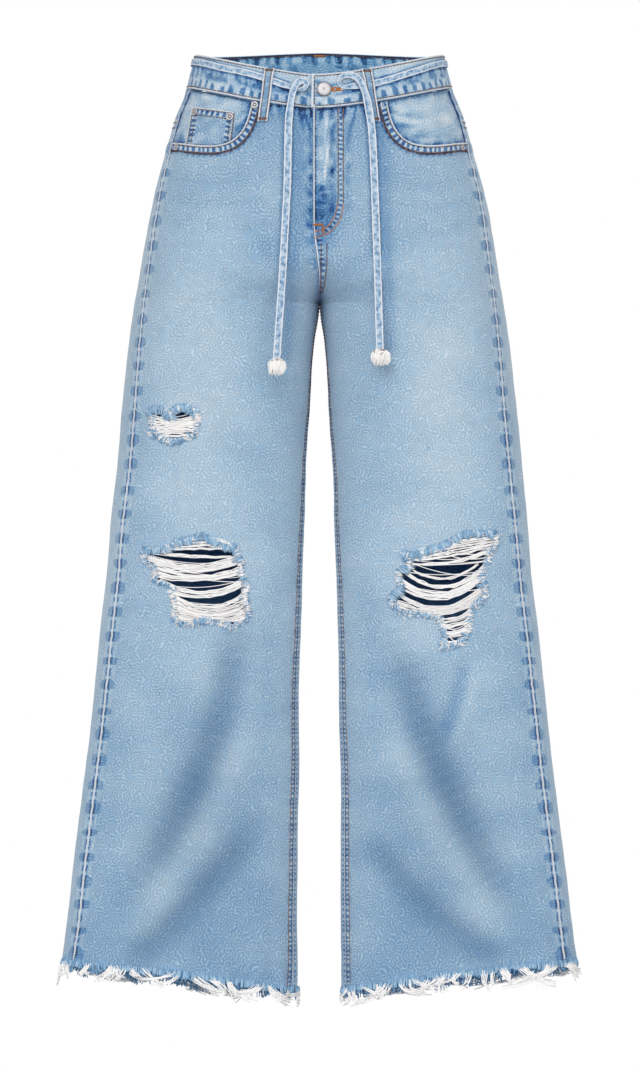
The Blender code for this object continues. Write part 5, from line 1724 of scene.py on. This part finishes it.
def pocket_facing(side):
    """Cloth that shows inside a front pocket mouth."""
    angle, z = facing_grid(side)
    x = form(side, angle, z)[..., 0]
    mouth, _, _, at = measure(MOUTH_OUTLINE, np.abs(x), z)
    below, into = waist_seam(angle) - z, np.clip(mouth, 0.0, None)
    fields = nearest_seam((outseam_distance(angle, z), z, 1.0, 0.95),
                          (below + 0.8, x, 0.8, 0.0),
                          (np.abs(mouth) + 1.0, at, 0.9, 0.0))
    blots = smooth(wobble(0.6 * x + 0.5 * z, z, 15.0, 107 + side), 0.1, 0.5)
    crease_shade = np.clip(bent_lines(FACING_CREASE_SHADE, side, "front", x, z), -0.4, 1.0)
    # painted shadow inside the mouth's edge and under the band, and painted shade in the facing's creases
    wear = 0.70 + 0.06 * wobble(x, z, 26.0, 101 + side) - 0.34 * np.exp(-into / 3.0)
    wear -= 0.14 * blots * np.exp(-into / 16.0) + 0.30 * crease_shade + 0.10 * np.exp(-below / 5.0)
    fields["wear"] = wear.ravel()
    lift = -FACING_DEPTH + 0.35 * wobble(x, z, 30.0, 103 + side)
    patch("pocket_facing_" + hand(side), side, angle, z, lift, FACING, FACING_CLOTH, fields,
          "waistband_cloth")


def coin_pocket():
    """Small pocket on the right facing, down to the mouth's edge."""
    share = np.linspace(0.0, 1.0, 26)
    top_x, top_z = (between(*pair, share) for pair in zip(*COIN_TOP))
    foot_x = between(*COIN_FOOT, share)
    foot_z = np.interp(foot_x, *MOUTH_LINE.T) + 3.0 * GAP
    step = np.linspace(0.0, 1.0, 22)[:, None]
    x, z = between(top_x, foot_x, step), between(top_z, foot_z, step)
    across, down = share[None] * COIN_WIDTH + 0.0 * x, top_z[None] - z
    fields = nearest_seam((down, across, 0.4, 0.9, 1.0),
                          (across, down + 300.0, 0.4, 0.7, 1.0),
                          (COIN_WIDTH - across, down + 500.0, 0.4, 0.7, 1.0))
    fields["wear"] = (0.60 + 0.07 * wobble(x, z, 18.0, 111)).ravel()
    from_side = np.minimum(across, COIN_WIDTH - across)
    lift = COIN_FACE + 0.3 * wobble(x, z, 16.0, 112) * np.minimum(1.0, from_side / 8.0)
    patch("coin_pocket", -1, angle_at(x, z), z, lift, POCKET, CLOTH, fields,
          "pocket_facing_right_cloth")
    lines = [(top_x[1:-1], top_z[1:-1] - offset) for offset in COIN_ROWS_DOWN]
    for offset in COIN_ROWS_ACROSS:
        k = int(offset / COIN_WIDTH * (len(share) - 1))
        lines.append((x[1:, k], z[1:, k]))
    for line_x, line_z in lines:
        lift = np.full(line_x.shape, COIN_FACE + 0.2)
        sew("brown", form_line(-1, angle_at(line_x, line_z), line_z, lift), 2.6, 0.9)


def back_pocket(side):
    """Five-sided patch pocket below the yoke, stitched down round its edges."""
    share = np.linspace(0.0, 1.0, POCKET_COLUMNS)
    step = np.linspace(0.0, 1.0, POCKET_ROWS)[:, None]
    top_x, top_z = (between(*pair, share) for pair in zip(*POCKET_TOP))
    foot_x = between(POCKET_SIDE[0][0], POCKET_SIDE[1][0], share)
    foot_z = np.interp(share, (0.0, 0.5, 1.0), (POCKET_SIDE[0][1], POCKET_POINT[1], POCKET_SIDE[1][1]))
    x, z = between(top_x, foot_x, step), between(top_z, foot_z, step)
    across, down = share[None] * POCKET_WIDTH + 0.0 * x, step * POCKET_HEIGHT + 0.0 * x
    far_side, up = POCKET_WIDTH - across, POCKET_HEIGHT - down
    fields = nearest_seam((down, across, 1.0, 1.0),
                          (across, down + 300.0, 0.8, 0.8),
                          (far_side, down + 600.0, 0.8, 0.8),
                          (up, across + 900.0, 0.8, 0.8))
    fields["wear"] = (0.66 + 0.05 * wobble(x, z, 40.0, 121 + side) - 0.08 * bell(down, 12.0, 2.0)).ravel()
    near = np.minimum(np.minimum(across, far_side), up)
    lift = POCKET_LIFT + POCKET + 0.9 * smooth(near, 4.0, 16.0) * (0.6 + 0.4 * wobble(x, z, 40.0, 123 + side))
    angle = angle_at(x, z, "back")
    patch("back_pocket_" + hand(side), side, angle, z, lift, POCKET, CLOTH, fields,
          "back_" + hand(side) + "_cloth")
    columns = [round(at / POCKET_WIDTH * (POCKET_COLUMNS - 1)) for at in POCKET_LINES_ACROSS]
    rows = [round(at / POCKET_HEIGHT * (POCKET_ROWS - 1)) for at in POCKET_LINES_DOWN]
    inner = slice(1, -1)
    for line in [(inner, k) for k in columns] + [(k, inner) for k in rows]:
        sew("brown", form_line(side, angle[line], z[line], lift[line]))
    for spot in ((2, 1), (2, POCKET_COLUMNS - 2)):
        centre, normal = form_line(side, angle[spot], z[spot], lift[spot])
        bartack("orange", centre, UPWARDS, LEFTWARDS, normal, 9.0, 2.2)


# ---------------------------------------------------------------- rips

# How the frayed edge of a rip looks above the hole, below it and at its sides: where the ends start behind the
# edge, how far they reach over it (base, by clump, least and most unevenness), how far they lean and stray,
# their heights, the least and most added to them, the share that is blue warp, and how strongly they curl.
FRAYED_EDGES = {
    "upper": ((3.0, 5.0, 0.5), (5.4, 2.4, -0.8, 0.9), (4.0, 0.4), (0.0, 0.8, 1.3, 1.4, 1.0, 0.3), (-0.2, 0.4), 0.93, 0.5),
    "lower": ((1.0, 4.5, 0.9), (2.4, 2.4, -1.0, 1.8), (3.6, 1.0), (0.0, 0.5, 0.9, 1.1, 0.9, 0.5), (-0.2, 0.5), 0.66, 1.0),
    "side": ((1.5, 5.5, 0.7), (0.0, 0.0, 1.0, 5.0), (0.0, 0.9), (0.2, 0.5, 0.55, 0.4, 0.0, -0.6), (-0.1, 0.3), 0.24, 1.0),
}


def laid(side, lines):
    """Points on the front cloth for many lines, each given as x, z and lift."""
    x, z, lift = (np.array([np.broadcast_to(line[k], line[0].shape) for line in lines]) for k in range(3))
    return on_cloth(side, angle_at(x, z), z, lift)


def bundle_threads(rng, bundle, share):
    """Lines and radii of one bundle of bare weft, with its ends tucked under the cloth."""
    left, middle, right = (np.array(bundle[k:k + 3], float) for k in (0, 3, 6))
    marks = (left, middle, right)
    width = right[0] - left[0]
    bend = (middle[0] - left[0]) / width
    count = max(3, int(max(abs(mark[1] - mark[2]) for mark in marks) / 1.25))
    for k in range(count):
        at = np.clip((k + rng.uniform(0.1, 0.9)) / count, 0.0, 1.0)
        high = [between(mark[1], mark[2], np.clip(at + rng.normal(0.0, 0.06), -0.03, 1.03)) for mark in marks]
        x = between(left[0], right[0], share)
        sag = high[1] - between(high[0], high[2], bend)
        z = between(high[0], high[2], share) + sag * share * (1.0 - share) / (bend * (1.0 - bend))
        z += 0.7 * wobble(x, 0.0 * x, 17.0, int(rng.integers(1e6)))
        over = smooth(np.minimum(share, 1.0 - share), 0.0, 0.16)
        lift = -1.9 + over * (1.6 + rng.uniform(-0.9, 1.1))
        yield (x + (share - 0.5) * 7.0, z, lift), rng.uniform(0.72, 1.12)


def loose_threads(rng, edge, share):
    """Lines and radii of the threads that wander from bundle to bundle."""
    low, high = edge.min(axis=0), edge.max(axis=0)
    across = np.linspace(low[0], high[0], 60)
    for _ in range(int((high[1] - low[1]) * 0.13)):
        level = rng.uniform(low[1] + 6.0, high[1] - 4.0)
        span = across[measure(edge, across, np.full(60, level))[0] > 0.0]
        if len(span) < 4:
            continue
        x = span[0] - 2.0 + (span[-1] - span[0] + 4.0) * share
        z = level + rng.normal(0.0, 4.0) * (share - 0.5) * 2.0 - rng.uniform(2.0, 9.0) * 4.0 * share * (1.0 - share)
        lift = -1.75 + smooth(np.minimum(share, 1.0 - share), 0.0, 0.16) * rng.uniform(1.2, 2.8)
        yield (x, z, lift), rng.uniform(0.5, 0.8)


def rip_threads(name, side, bundles, seed):
    """Bare weft threads across a rip, bundle by bundle, and a few loose ones."""
    rng = np.random.default_rng(seed)
    share = np.linspace(0.0, 1.0, 15)
    threads = [thread for bundle in bundles for thread in bundle_threads(rng, bundle, share)]
    threads += loose_threads(rng, RIP_EDGES[name], share)
    lines, radii = zip(*threads)
    piece = tubes("rip_threads_" + name + "_strands", laid(side, lines), np.array(radii)[:, None], WEFT,
                  rng.uniform(0.25, 1.0, len(lines)))
    claim(piece, "rip_threads_" + name)


def rip_border(name):
    """Close points round a rip's edge, and smoothed directions into the hole."""
    outline = RIP_EDGES[name]
    edge = evenly(np.concatenate([outline, outline[:1]]), int(lengths(outline)[-1] / 0.52))
    inward = normals_of(edge)[1]
    trial = edge + inward * 1.5
    if np.mean(measure(outline, *trial.T)[0] > 0.0) <= 0.5:
        inward = -inward
    inward = np.stack([np.convolve(np.pad(inward[:, k], 6, mode="wrap"), np.ones(13) / 13.0, mode="valid")
                       for k in (0, 1)], axis=1)
    return edge, unit(inward)


def frayed_end(rng, spot, inn, across, share, clump, lean):
    """One end at a rip's edge, as x, z and lift, and whether it is blue."""
    kind = "upper" if inn[1] < -0.4 else "lower" if inn[1] > 0.4 else "side"
    (near, far, stray), (base, by_clump, least, most), (by_lean, drift), lift, more, chance, curl = FRAYED_EDGES[kind]
    start = spot - inn * rng.uniform(near, far) + across * rng.normal(0.0, stray)
    end = (spot + inn * (base + by_clump * clump + rng.uniform(least, most))
           + across * (by_lean * lean + rng.normal(0.0, drift)))
    lift = np.array(lift) + rng.uniform(*more)
    path = between(start, end, share) + across * rng.normal(0.0, curl) * np.sin(math.pi * share)
    return (*path.T, lift), rng.uniform() < chance


def stray_curl(rng, spot, inn, across, share):
    """A short curled end beside a rip's edge, as x, z and lift, and whether it is blue."""
    extra = spot + inn * rng.uniform(-3.0, 2.0) + across * rng.normal(0.0, 1.5)
    sweep = rng.uniform(0.0, 2.0 * math.pi)
    bow = rng.uniform(1.2, 2.6)
    turn = sweep + share[:, 0] * rng.uniform(1.6, 4.0)
    path = extra + bow * np.stack([np.cos(turn) - np.cos(sweep), np.sin(turn) - np.sin(sweep)], axis=1)
    lift = 0.5 + rng.uniform(0.0, 0.8) * np.sin(math.pi * share[:, 0])
    return (*path.T, lift), rng.uniform() >= 0.6


def comb_rip(name, side, seed):
    """Frayed edges of a rip: combed warp above, curled ends below and white weft ends at the sides."""
    rng = np.random.default_rng(seed)
    edge, inward = rip_border(name)
    share = np.linspace(0.0, 1.0, 6)[:, None]
    clump, lean = (wobble(lengths(edge), 0.0, size, seed + key) for size, key in ((7.0, 3), (10.0, 4)))
    lines = {True: [], False: []}
    for k, (spot, inn) in enumerate(zip(edge, inward)):
        across = np.array((inn[1], -inn[0]))
        line, blue = frayed_end(rng, spot, inn, across, share, clump[k], lean[k])
        lines[blue].append(line)
        if rng.uniform() < (0.30 if inn[1] > 0.4 else 0.12):
            line, blue = stray_curl(rng, spot, inn, across, share)
            lines[blue].append(line)
    for kind, blue, material, radius in (("warp", True, WARP, 0.82), ("ends", False, WEFT, 0.66)):
        count = len(lines[blue])
        radii = radius * rng.uniform(0.75, 1.25, (count, 1)) * np.array((0.9, 1.0, 1.0, 0.95, 0.8, 0.5))
        piece = tubes("rip_" + name + "_" + kind, laid(side, lines[blue]), radii, material, rng.uniform(0.0, 1.0, count))


# ---------------------------------------------------------------- hem fringes

def hem_fringe(side, seed):
    """Combed blue warp over each raw hem, with bunches of white weft that hang below it."""
    rng = np.random.default_rng(seed)
    whole = np.linspace(0.0, 360.0, 721)
    start, level = whole[:-1] + 0.25, hem(whole[:-1])
    stride = np.linalg.norm(form(side, start + 0.5, level) - form(side, start - 0.5, level), axis=-1)
    run = np.concatenate([[0.0], np.cumsum(stride * 0.5)])
    share = np.linspace(0.0, 1.0, 7)

    def strands(at, start, end, drift, bow, lift):
        """Paths that begin at `start` above the hem and end at `end` above it, swept sideways."""
        bend = np.reshape(bow, (-1, 1)) + 0.3 * rng.normal(0.0, 1.0, (len(at), 1))
        along = at[:, None] + drift[:, None] * share ** 1.8 + bend * np.sin(math.pi * share)
        angle = np.interp(np.mod(along, run[-1]), run, whole)
        z = hem(angle) + between(start[:, None], end[:, None], 1.0 - (1.0 - share) ** 1.5)
        return on_cloth(side, angle, z, lift + 0.0 * z)

    def spots(count):
        """Random places along the hem."""
        return np.sort(rng.uniform(0.0, run[-1], count))

    def wave(at, size, key):
        """Unevenness along the hem."""
        return wobble(at, 0.0 * at, size, seed + key)

    def each(low, high):
        """A random value for each strand."""
        return rng.uniform(low, high, at.shape)

    curl = np.array((0.0, 0.6, 1.0, 1.15, 1.0, 0.7, 0.2))
    at = spots(760)
    blue = strands(at, 4.6 + 0.9 * wave(at, 30.0, 2) + each(-0.9, 0.9), -3.4 + 1.6 * wave(at, 34.0, 1) + each(-0.8, 0.8),
                   1.5 * wave(at, 24.0, 5) + rng.normal(0.0, 0.35, at.shape), 0.25, curl + each(-0.2, 0.3)[:, None])
    at = spots(360)
    under = strands(at, 1.0 + 0.0 * at, -7.0 + 2.4 * wave(at, 30.0, 6) + each(-1.6, 1.2),
                    wave(at, 24.0, 5) + rng.normal(0.0, 0.8, at.shape), 0.5, -PANEL * 0.8 - 0.3 * share[None])
    # white locks: several strands that start side by side, bend together and are swept along the hem
    locks = spots(int(run[-1] / 9.5))
    of_lock = np.repeat(np.arange(len(locks)), rng.integers(4, 10, len(locks)))
    behind = np.interp(locks, run, whole) > 180.0
    within = rng.normal(0.0, 1.0, len(of_lock))
    at = locks[of_lock] + 2.2 * within
    length = (7.0 + 4.5 * wave(locks, 40.0, 8) + rng.gamma(2.0, 2.8, len(locks))) * np.where(behind, 0.5, 1.0)
    sweep = 30.0 * wave(locks, 70.0, 7) + rng.normal(0.0, 8.0, len(locks))
    bow = rng.normal(0.0, 3.5, len(locks)) + 0.15 * sweep
    white = strands(at, each(-2.0, 2.5), -3.0 - length[of_lock] * each(0.6, 1.1),
                    sweep[of_lock] * each(0.75, 1.15) - 1.6 * within, bow[of_lock],
                    1.2 + 2.2 * share * each(-0.6, 1.0)[:, None])
    for kind, paths, material, radius, low, high in (("comb", blue, WARP, 0.74, 0.1, 0.8),
                                                     ("under", under, WARP, 0.7, 0.0, 0.3),
                                                     ("weft", white, WEFT, 0.68, 0.5, 1.0)):
        radii = radius * rng.uniform(0.75, 1.3, (len(paths), 1)) * np.array((0.9, 1.0, 1.0, 1.0, 1.0, 0.9, 0.7))
        piece = tubes("hem_" + hand(side) + "_" + kind, paths, radii, material, rng.uniform(low, high, len(paths)))
    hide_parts("hem_fringe_" + hand(side))


# ---------------------------------------------------------------- drawstring

def free_end(points):
    """Route of a free end: over the belly, then straight down from its fullest point."""
    route = []
    nearest = 0.0
    for x, z, clear in points:
        surface = form(math.copysign(1, x), angle_at(x, z), z)
        nearest = min(nearest, float(surface[1]) - clear)
        route.append((x, nearest, z))
    return route


def ribbon_frame(path):
    """Directions across a ribbon and out of its broad side, which faces the front."""
    along = unit(np.gradient(path, axis=0))
    face = unit(np.array((0.0, -1.0, 0.0)) - along * -along[:, 1:2])
    return np.cross(along, face), face


def uneven(count, base, amount, seed):
    """Width along a raw-edged tape."""
    at = np.arange(count, dtype=float)
    return base + amount * wobble(at, 0.0 * at, 7.0, seed)


def tuft_fibres(rng, top):
    """Paths and radii of the curled fibres of a frayed knot."""
    count, share = 260, np.linspace(0.0, 1.0, 8)
    turn = rng.uniform(0.0, 2.0 * math.pi, count)
    spread = np.sqrt(rng.uniform(0.02, 1.0, count))[:, None]
    depth = rng.uniform(0.65, 1.0, count)[:, None]
    swell = np.sin(math.pi * np.clip(share * 0.66 + 0.09, 0.0, 1.0))[None] ** 0.7
    curl = rng.normal(0.0, 0.9, (count, 1)) * np.sin(share * rng.uniform(3.0, 7.0, (count, 1)))
    lobe = 1.0 + 0.16 * np.sin(3.0 * turn + 1.0)[:, None] * (0.4 + 0.6 * share)
    reach = spread * lobe * swell
    x = top[0] + (TUFT[0] / 2.0 + 0.3) * reach * np.cos(turn)[:, None] + curl
    y = top[1] + (TUFT[1] / 2.0 - 0.2) * reach * np.sin(turn)[:, None]
    z = top[2] + 0.5 - (TUFT[2] + 4.6) * share * depth * (1.0 - 0.08 * spread ** 2)
    radii = rng.uniform(0.7, 1.1, (count, 1)) * np.array((1.0, 1.0, 1.0, 1.0, 1.0, 0.95, 0.85, 0.6))
    return np.stack([x, y, z], axis=-1), radii


def tuft_wraps(rng, top):
    """Three turns of thread that bind a tuft."""
    for k in range(3):
        angle = np.linspace(0.0, 2.0 * math.pi, 14) + rng.uniform(0.0, 6.0)
        reach = 0.27 + 0.03 * k
        tilt = rng.uniform(-0.8, 0.8)
        yield np.stack([top[0] + TUFT[0] * reach * np.cos(angle), top[1] + TUFT[1] * reach * np.sin(angle),
                        top[2] - 0.2 - 0.55 * k + tilt * np.cos(angle)], axis=1)


def tuft_knots(rng, top):
    """Three loose ends of brown thread on a tuft."""
    steps = np.linspace(-1.0, 1.0, 6)[:, None]
    for _ in range(3):
        angle = rng.uniform(math.pi, 2.0 * math.pi)
        spot = np.array((top[0] + TUFT[0] * 0.42 * math.cos(angle), top[1] + TUFT[1] * 0.46 * math.sin(angle),
                         top[2] - rng.uniform(1.0, 7.0)))
        drift = rng.normal(0.0, 1.0, 3) * (1.0, 0.3, 1.0)
        yield spot + drift * steps * 1.7 + np.array((0.0, -0.6, 0.0)) * (1.0 - steps ** 2)


def tuft(name, top, seed):
    """Frayed knot below a tape's end: curled pale fibres bound by an orange-brown thread."""
    rng = np.random.default_rng(seed)
    paths, radii = tuft_fibres(rng, top)
    fibres = tubes(name + "_fibres", paths, radii, WEFT, rng.uniform(0.5, 1.0, len(paths)))
    claim(fibres, name)
    pieces = [fibres]
    for kind, paths_of, radius, low in (("_wrap", tuft_wraps, 0.5, 0.5), ("_knots", tuft_knots, 0.42, 0.4)):
        paths = np.array(list(paths_of(rng, top)))
        pieces.append(tubes(name + kind, paths, radius, SEWING["brown"], rng.uniform(low, 1.0, len(paths))))
    return pieces


def waist_tape():
    """Tape round the waist, in the belt loops."""
    turn = np.linspace(WAIST_TAPE[0][0] + 2.5, WAIST_TAPE[-1][0] - 2.5, 420)
    z = waist_top(waist_angle(turn)) - column(WAIST_TAPE, 1, turn) + 0.5 * wobble(turn * 2.1, 0.0, 60.0, 201)
    tuck = smooth(np.maximum(turn + 16.0, -344.0 - turn), 0.0, 4.0)
    offset = BAND_PROUD + 2.0 * GAP + CAD_TAPE / 2.0 - 0.75 * tuck
    path = round_waist(turn, z, offset)
    face = round_waist(turn, z, offset + 1.0) - path
    across = unit(np.cross(np.gradient(path, axis=0), face))
    width = uneven(len(path), TAPE_WIDTH, 0.25, 202) * (1.0 - 0.3 * tuck)
    tape = strap("drawstring_waist_tape", path, across, face, width, TAPE, [TAPE_CLOTH], 0.08)
    claim(tape, "drawstring_waist")


def tape_piece(name, path, width, edge):
    """Hanging length of tape."""
    piece = strap(name + "_tape", path, *ribbon_frame(path), width, TAPE, [TAPE_CLOTH], edge)
    return claim(piece, name)


def drawstring():
    """Tape in the belt loops, and its two free ends with their frayed knots."""
    waist_tape()
    for side, points, height in zip((-1, 1), (RIGHT_END, LEFT_END), TURN_ENDS):
        path = smooth_path(free_end(points), PATH_STEPS)
        split = next(i for i in range(PATH_STEPS // 10, PATH_STEPS) if path[i, 2] < height)
        near, far = evenly(path[:split + 1], 60), evenly(path[split:], 240)
        narrowing = 0.48 + 0.52 * smooth(lengths(near), 4.0, 30.0)
        tape_piece("drawstring_turn_" + hand(side), near, uneven(60, TAPE_WIDTH, 0.25, 205 + side) * narrowing, 0.08)
        end = tape_piece("drawstring_end_" + hand(side), far, uneven(240, END_WIDTH - 0.3, 0.35, 208 + side), 0.10)
        tuft_pieces = tuft("drawstring_tuft_" + hand(side), path[-1] - (0.0, 0.0, GAP), 210 + side)
        round(float(lengths(far)[-1]) * MM, 3)
        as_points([tuple(point * MM) for point in far[::24]] + [tuple(far[-1] * MM)])


# ---------------------------------------------------------------- metal

BUTTON_PROFILE = (
    # distance inside the rim, height above the seat, grime; the middle's rows give the radius instead
    (1.6, 0.9, 0.95), (0.4, 1.2, 0.95), (0.0, 1.8, 0.95), (0.15, 2.4, 0.9), (0.6, 2.7, 0.5), (0.9, 2.9, 0.05),
    (1.2, 2.72, 0.55), (1.6, 2.72, 0.45), (2.0, 2.86, 0.05), (4.0, 3.0, 0.0),
)
BUTTON_STEM = ((2.4, 0.1, 0.9), (2.4, 0.9, 0.9))
BUTTON_EYE = ((2.0, 3.05, 0.0), (1.4, 3.04, 0.1), (1.1, 2.9, 0.5), (0.8, 2.84, 0.4), (0.3, 2.84, 0.1))
RIVET_PROFILE = (
    # radius, height above the seat, grime
    (4.4, 0.0, 0.95), (4.4, 0.4, 0.8), (4.1, 0.8, 0.0), (3.5, 1.02, 0.0), (2.7, 0.98, 0.0), (2.1, 0.62, 0.95),
    (1.7, 0.66, 0.8), (1.2, 1.2, 0.1), (0.4, 1.35, 0.0),
)


def turned(name, profile, x, z, offset):
    """Turned piece that stands on the form: profile rows are radius, height above its seat and grime."""
    sides = 40
    base, axis = form_line(math.copysign(1, x), angle_at(x, z), np.array(z), offset)
    first = unit(np.cross(axis, UPWARDS))
    turn = 2.0 * math.pi * np.arange(sides) / sides
    ring = first * np.cos(turn)[:, None] + np.cross(axis, first) * np.sin(turn)[:, None]
    radius, height, grime = np.array(profile).T
    points = base + radius[:, None, None] * ring[None] + (height[:, None] * axis)[:, None]
    wide = max(int(np.argmax(radius)) - 1, 0)
    _, faces = ring_faces(points, base + axis * height.mean(), slice(wide, wide + 1))
    piece = add_mesh(name + "_metal", points.reshape(-1, 3), faces, [METAL], None, None,
                     {"grime": np.repeat(grime, sides)}, 40.0)
    claim(piece, name)


def metal():
    """Dished shank button, and the domed rivets."""
    face = tuple((BUTTON_RADIUS - inside, height, grime) for inside, height, grime in BUTTON_PROFILE)
    turned("button", BUTTON_STEM + face + BUTTON_EYE, *BUTTON_AT, BAND_PROUD + GAP)
    for name, x, z, seat in RIVETS:
        turned(name, RIVET_PROFILE, x, z, seat + GAP)


# ---------------------------------------------------------------- camera, floor and light

FLOOR = -1.30              # metres, well below the hems
VIEW_HEIGHT = 1.227        # metres of the scene that the picture spans, top to bottom
VIEW_DISTANCE = 8.0
FILM = 36.0
AMBIENT = 0.45
LAMPS = (
    # name, place, angle across which the light comes in degrees, strength
    ("key", (-1.3, -4.0, 2.0), 44.0, 1.44),
    ("fill", (2.6, -4.0, 0.3), 60.0, 0.62),
    ("back", (0.9, 4.0, 1.5), 60.0, 1.0),
)
LAMPS_AIM = (0.0, 0.0, -0.5)


def place_object(name, data, place):
    """Put a camera, a lamp or a mesh into the scene."""
    made = bpy.data.objects.new(name, data)
    made.location = place
    bpy.context.scene.collection.objects.link(made)
    return made


def camera():
    """Straight on, from the height of the knees' middle, from far off."""
    data = bpy.data.cameras.new("camera")
    data.lens = FILM * VIEW_DISTANCE / VIEW_HEIGHT
    data.sensor_fit = "VERTICAL"
    data.sensor_height = FILM
    data.clip_end = 60.0
    made = place_object("camera", data, (0.0008, -VIEW_DISTANCE, -0.526))
    made.rotation_euler = (math.radians(90.0), 0.0, 0.0)
    bpy.context.scene.camera = made


def floor():
    """Pale floor that the camera sees as white."""
    mesh = bpy.data.meshes.new("floor")
    mesh.from_pydata([(-3.0, -4.0, 0.0), (3.0, -4.0, 0.0), (3.0, 1.9, 0.0), (-3.0, 1.9, 0.0)], [], [(0, 1, 2, 3)])
    m = Surface("floor_pale", 0.9, specular=0.0)
    m.shader.inputs["Base Color"].default_value = (0.90, 0.90, 0.90, 1.0)
    mesh.materials.append(m.material)
    place_object("floor", mesh, (0.0, 0.0, FLOOR))


def lamps():
    """Soft light from the front and above, and some from behind."""
    for name, place, size, power in LAMPS:
        data = bpy.data.lights.new(name, "SUN")
        data.angle = math.radians(size)
        data.energy = power
        x, y, z = np.array(place) - np.array(LAMPS_AIM)
        lamp = place_object(name, data, place)
        lamp.rotation_euler = (math.atan2(math.hypot(x, y), z), 0.0, math.atan2(y, x) + math.pi / 2)


def world():
    """White world, dimmer as a light than to the camera."""
    made = bpy.data.worlds.new("studio")
    bpy.context.scene.world = made
    made.use_nodes = True
    made.node_tree.nodes.clear()
    m = Nodes(made.node_tree)
    rays = m.add("LightPath", {}).outputs
    seen = m.calc("MAXIMUM", rays["Is Camera Ray"],
                  m.calc("MAXIMUM", rays["Is Glossy Ray"], rays["Is Transmission Ray"]))
    dim, white = (m.add("Background", {"Color": (1.0, 1.0, 1.0, 1.0), "Strength": strength}).outputs[0]
                  for strength in (AMBIENT, 1.0))
    both = m.add("MixShader", {0: seen, 1: dim, 2: white})
    m.add("OutputWorld", {0: both.outputs[0]})


# ---------------------------------------------------------------- the whole

camera()
drawstring()
for hand_side in (-1, 1):
    for make in (front_cloth, back_cloth, yoke_cloth):
        piece, points = make(hand_side)
        area, width, length = grid_area(points)
    pocket_facing(hand_side)
    back_pocket(hand_side)
    hem_fringe(hand_side, 400 + hand_side)
coin_pocket()
fly_stitching()
waistband()
buttonhole()
belt_loops()
for number, (rip, rip_side, _, bundles) in enumerate(RIPS):
    rip_threads(rip, rip_side, bundles, 500 + number)
    comb_rip(rip, rip_side, 520 + number)
metal()
place_stitches()
floor()
lamps()
world()
bpy.context.scene.view_settings.view_transform = "Standard"
